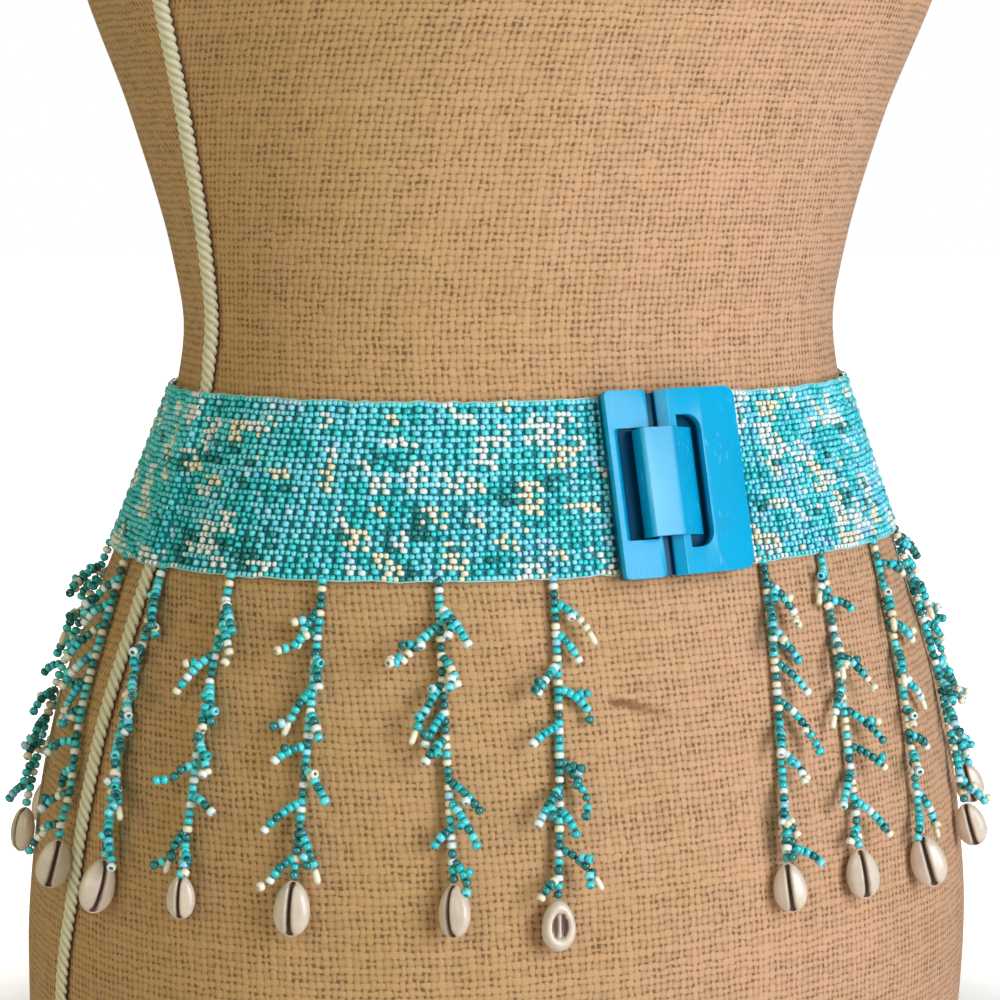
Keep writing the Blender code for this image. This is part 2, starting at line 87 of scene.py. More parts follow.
# Dress form: half width, and depth in front of and behind the axis, level by level
FORM_LEVELS = [
    Level(0.000, 0.1610, 0.1160, 0.1380),
    Level(0.030, 0.1665, 0.1225, 0.1430),
    Level(0.070, 0.1668, 0.1268, 0.1428),
    Level(0.110, 0.1637, 0.1240, 0.1405),
    Level(0.150, 0.1565, 0.1168, 0.1335),
    Level(0.190, 0.1422, 0.1078, 0.1175),
    Level(0.225, 0.1288, 0.0993, 0.1020),
    Level(0.245, 0.1214, 0.0942, 0.0940),
    Level(0.262, 0.1157, 0.0902, 0.0883),
    Level(0.278, 0.1140, 0.0888, 0.0863),
    Level(0.300, 0.1172, 0.0917, 0.0894),
    Level(0.345, 0.1295, 0.1011, 0.1017),
    Level(0.400, 0.1480, 0.1140, 0.1180),
    Level(0.435, 0.1530, 0.1150, 0.1210),
    Level(0.475, 0.1550, 0.1080, 0.1200),
    Level(0.515, 0.1580, 0.0980, 0.1160),
    Level(0.550, 0.1720, 0.0890, 0.1080),
    Level(0.585, 0.1770, 0.0800, 0.0970),
    Level(0.612, 0.1700, 0.0710, 0.0850),
    Level(0.630, 0.1520, 0.0630, 0.0750),
    Level(0.643, 0.1210, 0.0570, 0.0680),
    Level(0.653, 0.0880, 0.0530, 0.0630),
    Level(0.664, 0.0640, 0.0510, 0.0600),
    Level(0.680, 0.0560, 0.0500, 0.0580),
    Level(0.702, 0.0550, 0.0510, 0.0570),
    Level(0.706, 0.0520, 0.0480, 0.0540),
]
SECTION_SQUARENESS = 2.2
ARM_PLATE_AT = 0.1560
ARM_PLATE_SOFTNESS = 0.0030
BUST_HEIGHT = 0.4350
BUST_SPREAD = 0.0700
BUST_RADIUS = 0.0620
BUST_RISE = 0.0210
COVER_RING_STEP = 0.0050
COVER_EXTRA_RINGS = (0.649, 0.658)
COVER_PANEL_COLUMNS = 108
COVER_CAP_SHARES = (0.7, 0.35)
COVER_SHARP_ANGLE = 50
ANGLE_STEP = 0.5
HEIGHT_STEP = 0.001

# Piping cord down both side seams, as points of the right-hand seam
SEAM = [
    SeamPoint(0.000, 177.0),
    SeamPoint(0.060, 178.5),
    SeamPoint(0.110, 180.5),
    SeamPoint(0.160, 181.5),
    SeamPoint(0.200, 181.0),
    SeamPoint(0.262, 181.0),
    SeamPoint(0.300, 183.0),
    SeamPoint(0.345, 186.5),
    SeamPoint(0.400, 190.0),
    SeamPoint(0.560, 190.0),
]
PIPING_WIDTH = 0.0072
PIPING_HEIGHT = 0.0026
PIPING_HEIGHT_FREE = 0.0036
PIPING_FREE_ABOVE = 0.0040
PIPING_FREE_WITHIN = 0.0120
PIPING_GAP = 0.00035
PIPING_BOTTOM = 0.0030
PIPING_TOP = 0.5100
PIPING_STEP = 0.0007
PIPING_SIDES = 24
PIPING_END_SHARES = (0.55, 0.8, 0.95)
CORD_PLIES = 3
PLY_OFFSET = 0.50
PLY_RADIUS = 0.52
CORD_CLOTH_WIDTH = 0.012
HOLLOW_FROM = 0.93
HOLLOW_SPAN = 0.35

# Beaded band: a net of beads, 15 cells high and 188 round, open only under the buckle
BAND_TOP = 0.2590
BAND_BOTTOM = 0.2055
BAND_GAP = 0.0006
BEAD = 0.0028
CELLS_HIGH = 15
CELLS_ROUND = 188
CELLS_TUCKED = (2, 2)
PIPING_COVER = 0.0026
COVER_FLAT = 0.0035
COVER_END = 0.0100
NET_SEED = 17
NODE_SHIFT = 0.00022
NODE_RISE = 0.00012
WEB_HOLE = 0.10
CELL_CLUSTERING = 0.50
BEAD_CLUSTERING = 0.80
CROSS_BEAD = 0.78
UPRIGHT_WIDTH = 1.08
UPRIGHT_LENGTH = 1.12
BEAD_SECTION = [(1.0, 0.50), (0.56, 1.0), (0.56, -1.0), (1.0, -0.50)]
BEAD_TILT = 0.04
ACROSS_HIGHLIGHT_TONE = 0.6
STRAY_PALE_GAIN = 0.6
BAND_PIECES = 3
WEB_DEPTH = 0.22
THREAD_SIDES = 4
EDGE_THREAD = 0.00026
EDGE_THREAD_LIFT = 0.0003
EDGE_THREAD_SIDES = 5
EDGE_THREAD_WAVER = 0.0001
EDGE_LIFT_WAVER = 0.00008

# Fringe: strands of beads about every ninth cell, each with side branches and a cowrie at its end
STRANDS = [
    Strand(5, 0.0930, -2.4, 180, 1.05, 3),
    Strand(14, 0.0865, 0.8, -49, 1.08, 5),
    Strand(23, 0.0855, -1.2, -5, 1.12, 7),
    Strand(31, 0.0870, 0.5, 11, 0.90, 11),
    Strand(39, 0.0870, 4.0, 80, 1.14, 13),
    Strand(46, 0.0850, 6.5, 66, 1.05, 17),
    Strand(54, 0.0850, 5.0, 25, 1.00, 19),
    Strand(64, 0.0890, 2.0, 160, 1.06, 23),
    Strand(75, 0.0930, -0.8, 20, 0.94, 29),
    Strand(86, 0.0910, 1.4, -50, 1.10, 31),
    Strand(96, 0.0920, -0.6, 5, 1.02, 37),
    Strand(105, 0.0900, 0.4, 170, 1.00, 41),
    Strand(114, 0.0930, -1.0, 30, 1.08, 43),
    Strand(123, 0.0910, 0.8, -25, 0.95, 47),
    Strand(134, 0.0890, -1.6, 45, 1.04, 53),
    Strand(144, 0.0910, -2.4, -15, 1.10, 59),
    Strand(153, 0.0870, -4.5, -100, 1.00, 61),
    Strand(161, 0.0920, -5.0, -85, 1.02, 67),
    Strand(170, 0.0940, -5.0, -62, 1.16, 71),
    Strand(179, 0.0920, -2.7, -31, 1.08, 73),
    Strand(186, 0.0915, -3.0, -42, 1.04, 79),
]
GROUP_SIZES = (4, 3, 4, 3, 4, 3)
PART_GAP = 0.0003
STEM_RADIUS = 0.0016
STEM_ROOT = 0.0015
END_LIFT = 0.0026
HANG_STEPS = 8
BRANCHES = 10
BRANCH_CLEAR_OF_SEAM = 0.0200
STEM_BEAD_STEP = 0.00238
BRANCH_BEAD_STEP = 0.00232
TWIG_SHARE = 0.26
PALE_TIP = 0.42
LONG_TIP = {"share": 0.16, "length": 0.0052, "width": 0.0021, "droop": 0.3, "set_in": 0.42, "clear": 0.6}
BRANCH_START = 0.55
BRANCH_BOW_OUT = 0.0008
BRANCH_BOW_UP = 0.0010
TWIG_TURN = (30, 65)
TWIG_OUT = 0.7
TWIG_START = 0.5
TWIG_DROOP = 0.0003
TWIG_CLEAR = 0.55
TWIG_COUNTS = (1, 1, 2)
PALE_STEM_BEADS = 3
PALE_STEM_CHANCE = 0.8
STEM_PALE_GAIN = 0.5

# Cowries: eggs with a toothed slit on one side and a cut back on the other, in shares of their half sizes
COWRIE_LENGTH = 0.0148
COWRIE_WIDTH = 0.0100
COWRIE_DEPTH = 0.0074
COWRIE_COLUMNS = 60
COWRIE_ROWS = 26
COWRIE_TAPER = 0.14
MOUTH_CLUSTER = 1.45
MOUTH_SIDE = 0.80
SLIT_WIDTH = 0.105
SLIT_FLARE = 0.9
SLIT_DEPTH = 0.50
LIP_AT = 0.24
LIP_WIDTH = 0.13
LIP_RISE = 0.05
TEETH_AT = 0.15
TEETH_WIDTH = 0.12
TEETH_COUNT = 15
BACK_SIDE = 1.05
BACK_CUT = 0.66
BACK_HOLE = 0.60
BACK_RIM = 0.14
BACK_NARROW = 1.15
HOLE_DEPTH = 0.62
COLUMN_HALF_WIDTH = (0.10, 0.22)
COLUMN_HALF_HEIGHT = (0.42, 0.60)
COLUMN_RISE = 0.62
COLUMN_CLEAN = 0.8

# Buckle: two moulded plates; the left one's tongue comes up through the slot and folds back over the bar
BUCKLE_ANGLE = 268.3
BUCKLE_LEFT = -0.0240
BUCKLE_RIGHT = 0.0220
BUCKLE_HALF_HEIGHT = 0.0292
PLATE_LIFT = BAND_GAP + BEAD + 0.0006
HOOK_PLATE = {"right": -0.0102, "thick": 0.0046, "corner": 0.0015}
FLANGE = {"right": -0.0020, "half_height": 0.0285, "thick": 0.0011, "back": 0.0002, "tuck": 0.0006}
POCKET = {
    "left": -0.0222, "slope": 0.90, "right": -0.0112, "half_height": 0.0174, "floor": 0.0009, "corner": 0.0010,
}
SLOT_ROOM = {"margin": 0.0009, "depth": 0.0013}
SLOT_TAB = {"margin": 0.0005, "thick": 0.0009, "back": 0.0003, "tuck": 0.0010}
TONGUE_HALF_HEIGHT = 0.0168
TONGUE_PROFILE = [
    (-0.0107, 0.0002),
    (-0.0107, 0.0011),
    (-0.0003, 0.0011),
    (-0.0003, 0.0056),
    (-0.0133, 0.0056),
    (-0.0136, 0.0026),
    (-0.0153, 0.0026),
    (-0.0153, 0.0077),
    (-0.0143, 0.0088),
    (-0.0054, 0.0088),
    (-0.0042, 0.0082),
    (0.0058, 0.0024),
    (0.0064, 0.0002),
]
SLOT_PLATE = {"left": -0.0058, "thick": 0.0052, "corner": 0.0038, "chamfer": 0.0026, "shorter": 0.0002}
RELIEF = {"past": 0.01, "right": 0.0, "depth": 0.0015}
SLOT = {"left": -0.0007, "right": 0.0079, "half_height": 0.0208, "corner": 0.0050}
SLOT_WALL = {"margin": 0.0001, "below": 0.0004}
CORNER_SEGMENTS = 6
EDGE_SEGMENTS = 3
EDGE_ANGLE = 35
HOOK_ROUNDING = 0.00045
SLOT_ROUNDING = 0.00050
CURVE_CUT_STEP = 0.0030
CURVE_CUT_START = 0.00013
BUCKLE_SHARP_ANGLE = 28

# Bead finishes: colours in the light and in the depth, shares of the band's and of the fringe's beads
FINISHES = [
    Finish("deep_teal_glass", (0.016, 0.310, 0.310), (0.005, 0.150, 0.155), 0.06, 0.36),
    Finish("teal_glass", (0.040, 0.750, 0.810), (0.012, 0.480, 0.530), 0.31, 0.34),
    Finish("turquoise_glass", (0.150, 0.880, 0.940), (0.050, 0.660, 0.725), 0.26, 0.12),
    Finish("aqua_glass", (0.260, 0.880, 1.000), (0.110, 0.680, 0.900), 0.26, 0.08),
    Finish("sky_glass", (0.520, 0.860, 1.000), (0.260, 0.650, 0.940), 0.06, 0.02),
    Finish("white_pearl", (0.930, 0.980, 0.960), (0.760, 0.920, 0.900), 0.03, 0.04),
    Finish("cream_pearl", (0.980, 0.930, 0.740), (0.880, 0.800, 0.560), 0.02, 0.04),
]
PALE = (5, 6)
BLUE = (3, 4)
PALE_END_CELLS = 26
PALE_AND_GLARE_END_GAIN = 2.3
BLUER_CELLS = 42
BLUER_GAIN = 1.9
BLUE_GAIN_BEYOND = 0.6
PATCH_CHANCE = 0.065
PATCH_SHAPES = ((1, 1), (1, 1), (2, 1), (1, 2), (2, 2), (3, 1), (2, 3))
PATCH_WHITE = 0.62
BAND_SHARES = [finish.band for finish in FINISHES]
FRINGE_SHARES = [finish.fringe for finish in FINISHES]

# Burlap: pink and olive tints, more olive towards the wearer's right, partly as painted shade on the side
# turned from the main light, and in clouds all over, and one brown streak
BURLAP_PINK = (0.700, 0.408, 0.252)
BURLAP_OLIVE = (0.565, 0.357, 0.145)
OLIVE_AND_SHADE_SIDE = {"full_at": -0.14, "gone_at": 0.06, "share": 0.75}
OLIVE_CLOUDS = {"gain": 0.70, "start": -0.25}
STREAK = {"x": -0.0370, "z": 0.1684, "length": 0.0290, "lean": -16.0, "half_width": 0.0022, "share": 0.85}
STREAK_EDGE = {"grain": 260.0, "waver": 0.004, "core": 0.0003, "start": 0.0015, "fade": 0.004}
STREAK_COLOUR = (0.210, 0.085, 0.035)
THREAD_APART = 3.7
THREAD_RUN = 0.35
THREAD_CRIMP = 0.45

# Stage: lights at turns from the camera's place, the floor and the camera
LAMPS = [
    Lamp("light_right", "right_light", 46, 1.25, 0.50, (0.65, 1.0), (0.89, 0.93, 1.0)),
    Lamp("light_left", "left_light", -66, 1.25, 0.60, (0.6, 0.9), (0.90, 0.88, 0.45)),
    Lamp("light_front", "front_light", -26, 1.5, 0.75, (0.5, 0.8), (1.0, 0.93, 0.80)),
    Lamp("light_back", "back_light", 180, 1.5, 0.80, (0.5, 0.8), (1.0, 0.97, 0.92)),
]
FLOOR_RADIUS = 9.0
FLOOR_BELOW = 0.0005
FLOOR_SHADE = {"near": 0.17, "far": 0.34, "share": 0.15}
CAMERA_AZIMUTH = 237.0
CAMERA_TILT = 6.77
CAMERA_DISTANCE = 0.990
CAMERA_HEIGHT = 0.334
CAMERA_LENS = 105.12
CAMERA_SHIFT = -0.0133
AIM_HEIGHT = 0.21


# Sizes and colours that a user would change
class BeltSizes(bpy.types.PropertyGroup):
    bead_width: FloatProperty(
        name="Bead width", description="Outside diameter of a bead in the net", default=0.00218, unit="LENGTH"
    )
    bead_length: FloatProperty(
        name="Bead length", description="Length of a bead of the net along its hole", default=0.00174,
        unit="LENGTH",
    )
    fringe_bead: FloatProperty(
        name="Fringe bead", description="Size of the fringe's beads against the net's", default=1.34,
        subtype="FACTOR",
    )
    bead_spread: FloatProperty(
        name="Bead spread", description="How much beads differ in size", default=0.07, subtype="FACTOR"
    )
    bead_sides: IntProperty(name="Bead sides", description="Sides round one bead", default=7, min=6, max=12)
    thread: FloatProperty(
        name="Thread", description="Diameter of the beading thread", default=0.0005, unit="LENGTH"
    )
    weave_pitch: FloatProperty(
        name="Weave pitch", description="Distance between the threads of the burlap", default=0.0023,
        unit="LENGTH",
    )
    cord_lay: FloatProperty(
        name="Cord lay", description="Length of one full twist of the piping cord", default=0.0090,
        unit="LENGTH",
    )


class BeltColours(bpy.types.PropertyGroup):
    # At four tenths, the painted shade on the low parts of the burlap's threads
    burlap: FloatVectorProperty(
        name="Burlap", description="Threads of the form's cover", default=(0.490, 0.298, 0.160),
        subtype="COLOR",
    )
    # Painted shade in the gaps of the weave; at twice its strength, the fine fibres' own darker tone
    burlap_gap: FloatVectorProperty(
        name="Burlap gaps", description="Between the threads of the cover", default=(0.190, 0.095, 0.042),
        subtype="COLOR",
    )
    cord: FloatVectorProperty(
        name="Piping cord", description="Cotton cord on the side seams", default=(0.90, 0.85, 0.63),
        subtype="COLOR",
    )
    plastic: FloatVectorProperty(
        name="Buckle", description="Moulded plastic of both plates", default=(0.002, 0.400, 0.710),
        subtype="COLOR",
    )
    # Painted shade: the colour the plates take deep in their recesses and slot and low on their sides
    plastic_shade: FloatVectorProperty(
        name="Buckle recesses", description="Deep in the plates, where little light comes",
        default=(0.0, 0.030, 0.085), subtype="COLOR",
    )
    shell: FloatVectorProperty(
        name="Cowrie", description="Outside of the shells", default=(0.80, 0.68, 0.55), subtype="COLOR"
    )
    # Partly the shell's inside colour, partly painted shade where the slit and the cut back open into the
    # hollow shell
    shell_mouth: FloatVectorProperty(
        name="Cowrie mouth", description="Inside the slit and the cut back", default=(0.165, 0.100, 0.070),
        subtype="COLOR",
    )
    # Also the sheet behind the net's beads, which is painted shade in the gaps between them
    thread: FloatVectorProperty(
        name="Net thread", description="Thread that the net is made on", default=(0.018, 0.290, 0.330),
        subtype="COLOR",
    )
    edge_thread: FloatVectorProperty(
        name="Edge thread", description="Pale thread along the net's edges", default=(0.46, 0.70, 0.68),
        subtype="COLOR",
    )


class StageSettings(bpy.types.PropertyGroup):
    floor: FloatVectorProperty(
        name="Floor", description="Pale floor and surroundings", default=(0.86, 0.86, 0.86), subtype="COLOR"
    )
    right_light: FloatProperty(
        name="Right light", description="Soft light on the camera's right", default=15.2, unit="POWER"
    )
    left_light: FloatProperty(
        name="Left light", description="Soft light on the camera's left", default=2.8, unit="POWER"
    )
    front_light: FloatProperty(
        name="Front light", description="Soft light above the camera", default=4.6, unit="POWER"
    )
    back_light: FloatProperty(
        name="Back light", description="Soft light behind the form", default=7.0, unit="POWER"
    )
    surround: FloatProperty(
        name="Surround", description="Light that comes from all round", default=0.12, subtype="FACTOR"
    )
    surround_tint: FloatVectorProperty(
        name="Surround tint", description="Colour of the light from all round", default=(0.95, 0.90, 0.68),
        subtype="COLOR",
    )


def sizes():
    return bpy.context.scene.belt_sizes


def colours():
    return bpy.context.scene.belt_colours


# The form's surface, worked out as the solids have it
def read_table(rows, column, height):
    """One column of a table at any height: a cubic through its rows that never overshoots them."""
    heights, values, slopes = table_column(id(rows), column)
    height = min(max(height, heights[0]), heights[-1])
    at = min(max(bisect.bisect_right(heights, height) - 1, 0), len(heights) - 2)
    step = heights[at + 1] - heights[at]
    t = (height - heights[at]) / step
    return (
        (2 * t**3 - 3 * t**2 + 1) * values[at]
        + (t**3 - 2 * t**2 + t) * step * slopes[at]
        + (3 * t**2 - 2 * t**3) * values[at + 1]
        + (t**3 - t**2) * step * slopes[at + 1]
    )


@functools.lru_cache(maxsize=None)
def table_column(table, column):
    """Heights, values and slopes of one column, worked out once."""
    rows = {id(FORM_LEVELS): FORM_LEVELS, id(SEAM): SEAM}[table]
    heights = [row.height for row in rows]
    values = [getattr(row, column) for row in rows]
    rates = [(b - a) / (d - c) for a, b, c, d in zip(values, values[1:], heights, heights[1:])]
    slopes = [rates[0]]
    for before, after in zip(rates, rates[1:]):
        slopes.append(0.0 if before * after <= 0 else 2 * before * after / (before + after))
    return heights, values, slopes + [rates[-1]]


def signed_power(value, power):
    return math.copysign(abs(value) ** power, value)


def smooth_step(value, low, high):
    t = min(max((value - low) / (high - low), 0.0), 1.0)
    return t * t * (3 - 2 * t)


def soft_limit(value, limit, softness):
    """value, held under limit with a rounded knee."""
    return value - softness * math.log1p(math.exp((value - limit) / softness))


def form_point(angle, height, offset=0.0):
    """A point of the form's surface, or of a surface that lies offset outside it."""
    turn = math.radians(angle)
    power = 2.0 / SECTION_SQUARENESS
    across = signed_power(math.cos(turn), power)
    along = signed_power(math.sin(turn), power)
    side = "front" if along < 0 else "back"
    x = (read_table(FORM_LEVELS, "half_width", height) + offset) * across
    y = (read_table(FORM_LEVELS, side, height) + offset) * along
    if height > 0.45:
        x = math.copysign(soft_limit(abs(x), ARM_PLATE_AT + offset, ARM_PLATE_SOFTNESS), x)
    if along < 0:
        for middle in (-BUST_SPREAD, BUST_SPREAD):
            away = math.hypot(x - middle, height - BUST_HEIGHT) / BUST_RADIUS
            y -= BUST_RISE * math.exp(-away * away)
    return Vector((x, y, height))


def surface_frame(angle, height, offset=0.0):
    """A point, the direction of rising angle, the downhill direction and the outward normal there."""
    ahead = form_point(angle + ANGLE_STEP, height, offset)
    behind = form_point(angle - ANGLE_STEP, height, offset)
    below = form_point(angle, height - HEIGHT_STEP, offset)
    above = form_point(angle, height + HEIGHT_STEP, offset)
    sideways = (ahead - behind).normalized()
    down = (below - above).normalized()
    return form_point(angle, height, offset), sideways, down, down.cross(sideways).normalized()


def reach_of_a_degree(angle, height):
    """Length of one degree round the form, at one place."""
    return (form_point(angle + ANGLE_STEP, height) - form_point(angle - ANGLE_STEP, height)).length


def angle_moved(angle, height, distance):
    """The angle reached by going distance round the form, towards rising angles if it is positive."""
    steps = 12
    for _ in range(steps):
        angle += distance / steps / reach_of_a_degree(angle, height)
    return angle


def seam_angles(height):
    right = read_table(SEAM, "angle", height)
    return right, 180.0 - right


def arc_between(first, second, height):
    """Signed distance from one angle to a near one, round the form."""
    turn = (second - first + 180.0) % 360.0 - 180.0
    return turn * reach_of_a_degree(first + turn / 2, height)


def cover(angle, height):
    """How far the belt is lifted where it passes over a seam's piping."""
    nearest = min(abs(arc_between(seam, angle, height)) for seam in seam_angles(height))
    t = min(max((COVER_END - nearest) / (COVER_END - COVER_FLAT), 0.0), 1.0)
    return PIPING_COVER * t * t * (3 - 2 * t)


def band_middle():
    return (BAND_TOP + BAND_BOTTOM) / 2


@functools.lru_cache(maxsize=None)
def cell_angles():
    """Angle of each cell line of the net, from the buckle's left edge round the back to its right edge."""
    height = band_middle()
    first = angle_moved(BUCKLE_ANGLE, height, BUCKLE_RIGHT) - 360.0
    last = angle_moved(BUCKLE_ANGLE, height, BUCKLE_LEFT)
    steps = 720
    angles = [last + (first - last) * n / steps for n in range(steps + 1)]
    points = [form_point(angle, height) for angle in angles]
    run = [0.0]
    for here, there in zip(points, points[1:]):
        run.append(run[-1] + (there - here).length)
    found = []
    for cell in range(CELLS_ROUND + 1):
        wanted = run[-1] * cell / CELLS_ROUND
        at = min(max(bisect.bisect_right(run, wanted) - 1, 0), steps - 1)
        share = (wanted - run[at]) / (run[at + 1] - run[at])
        found.append(angles[at] + (angles[at + 1] - angles[at]) * share)
    return found


def hanging_angle(start_angle, height):
    """Angle that a thread hanging over the form from the band's lower edge has come to at a height."""
    angle = start_angle
    drop = (height - BAND_BOTTOM) / HANG_STEPS
    for n in range(HANG_STEPS):
        level = BAND_BOTTOM + drop * (n + 0.5)
        sideways = form_point(angle + ANGLE_STEP, level) - form_point(angle - ANGLE_STEP, level)
        upwards = form_point(angle, level + HEIGHT_STEP) - form_point(angle, level - HEIGHT_STEP)
        angle -= sideways.dot(upwards) / sideways.dot(sideways) * drop / (2 * HEIGHT_STEP)
    return angle


def strand_place(strand, start_angle, share):
    """Angle, height and lift of a strand's middle line, share of the way from its root to its end."""
    height = BAND_BOTTOM + STEM_ROOT - (strand.length + STEM_ROOT) * share
    angle = hanging_angle(start_angle, height) + strand.lean * share**1.5
    lift = cover(angle, height) + BAND_GAP + STEM_RADIUS + END_LIFT * share**4
    return angle, height, lift


def branch_list(strand, start_angle):
    """Side branches of one strand: place along it, side, reach sideways, drop and rise off the form."""
    chance = random.Random(strand.seed)
    side = chance.choice((-1, 1))
    branches = []
    for n in range(BRANCHES):
        place = (n + 0.85 + chance.uniform(-0.25, 0.25)) / (BRANCHES + 0.6)
        side = -side if chance.random() < 0.7 else side
        reach = chance.uniform(0.0045, 0.0100)
        drop = min(chance.uniform(0.0040, 0.0140), strand.length * (1.0 - place) + 0.0010)
        rise = chance.uniform(0.0005, 0.0065)
        angle, height, _ = strand_place(strand, start_angle, place)
        for seam in seam_angles(height):
            away = arc_between(angle, seam, height)
            if 0 < away * side < BRANCH_CLEAR_OF_SEAM and abs(away) > COVER_FLAT:
                side = -side
        branches.append(Branch(place, side, reach, drop, rise))
    return branches


def buckle_point(across, up, out):
    """A point of the buckle: distance right of its middle, distance up it, height over its back face."""
    angle = angle_moved(BUCKLE_ANGLE, band_middle(), across)
    top, bottom, lift = buckle_lines()
    upwards = (top - bottom).normalized()
    middle = form_point(angle, band_middle(), PLATE_LIFT)
    ahead = form_point(angle + 1.0, band_middle(), PLATE_LIFT)
    behind = form_point(angle - 1.0, band_middle(), PLATE_LIFT)
    outwards = (ahead - behind).cross(upwards).normalized()
    return middle + lift + upwards * up + outwards * out


@functools.lru_cache(maxsize=None)
def buckle_lines():
    top = form_point(BUCKLE_ANGLE, BAND_TOP, PLATE_LIFT)
    bottom = form_point(BUCKLE_ANGLE, BAND_BOTTOM, PLATE_LIFT)
    return top, bottom, (top + bottom) / 2 - form_point(BUCKLE_ANGLE, band_middle(), PLATE_LIFT)


# Work on one piece at a time
def choose(item):
    """Makes one object the only chosen one."""
    for other in bpy.context.view_layer.objects:
        other.select_set(other == item)
    bpy.context.view_layer.objects.active = item


def start_piece():
    """Nothing is chosen before a new primitive is added."""
    if bpy.context.object and bpy.context.object.mode != "OBJECT":
        bpy.ops.object.mode_set(mode="OBJECT")
    bpy.ops.object.select_all(action="DESELECT")


def edit_mode(item, what="VERT"):
    choose(item)
    bpy.ops.object.mode_set(mode="EDIT")
    bpy.ops.mesh.select_mode(type=what)
    bpy.ops.mesh.select_all(action="DESELECT")


def object_mode():
    bpy.ops.object.mode_set(mode="OBJECT")


def pick(item, what, wanted):
    """Selects the vertices, edges or faces that are wanted, ready for an edit-mode step."""
    kind = {"VERT": "vertices", "EDGE": "edges", "FACE": "polygons"}[what]
    edit_mode(item, what)
    object_mode()
    for element in getattr(item.data, kind):
        element.select = bool(wanted(element))
    bpy.ops.object.mode_set(mode="EDIT")


def outward_normals(item):
    edit_mode(item)
    bpy.ops.mesh.select_all(action="SELECT")
    bpy.ops.mesh.remove_doubles(threshold=1e-6)
    bpy.ops.mesh.normals_make_consistent(inside=False)
    object_mode()


def mesh_piece(name, points, faces, materials, smooth=True):
    """A new piece from points and faces that were worked out, at the origin."""
    data = bpy.data.meshes.new(name)
    data.from_pydata(points, [], faces)
    data.update()
    item = bpy.data.objects.new(name, data)
    bpy.context.scene.collection.objects.link(item)
    for material in materials:
        data.materials.append(material)
    if smooth:
        data.shade_smooth()
    return item


def set_uv(item, places):
    """Gives every face corner the place of its own vertex, or one place a corner if as many are given."""
    layer = item.data.uv_layers.new(name="cloth")
    corners = np.empty(len(item.data.loops), dtype=np.int64)
    item.data.loops.foreach_get("vertex_index", corners)
    places = np.asarray(places, dtype=np.float64)
    chosen = places if len(places) == len(corners) else places[corners]
    layer.data.foreach_set("uv", chosen.astype(np.float32).ravel())


def set_attribute(item, name, values):
    attribute = item.data.attributes.new(name=name, type="FLOAT", domain="POINT")
    attribute.data.foreach_set("value", np.asarray(values, dtype=np.float32))


def hand_in(item, slot, *nodes):
    """The piece rides on the body and stands for its solids, which are hidden; the slot is not used."""
    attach(item, BODY)
    if nodes:
        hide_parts(*nodes)


def grid_faces(rows, columns, closed):
    """Quads of a grid of points laid row after row, closed round each row if asked."""
    faces = []
    for row in range(rows - 1):
        for column in range(columns if closed else columns - 1):
            after = (column + 1) % columns
            low, high = row * columns, (row + 1) * columns
            faces.append((low + column, low + after, high + after, high + column))
    return faces


def tube_points(line, outs, radius, sides):
    """Rings of a round thread along a line of points; outs are directions that hold it from twisting."""
    rings = []
    for n, point in enumerate(line):
        ahead = line[min(n + 1, len(line) - 1)] - line[max(n - 1, 0)]
        axis = ahead.normalized()
        first = (outs[n] - axis * outs[n].dot(axis)).normalized()
        second = axis.cross(first)
        for side in range(sides):
            turn = math.tau * side / sides
            rings.append(point + (first * math.cos(turn) + second * math.sin(turn)) * radius)
    return rings


def tube_faces(start, rings, sides):
    """Closed skin of a tube whose points begin at start."""
    faces = [tuple(start + index for index in face) for face in grid_faces(rings, sides, True)]
    last = start + (rings - 1) * sides
    return faces + [tuple(range(start + sides - 1, start - 1, -1)), tuple(range(last, last + sides))]


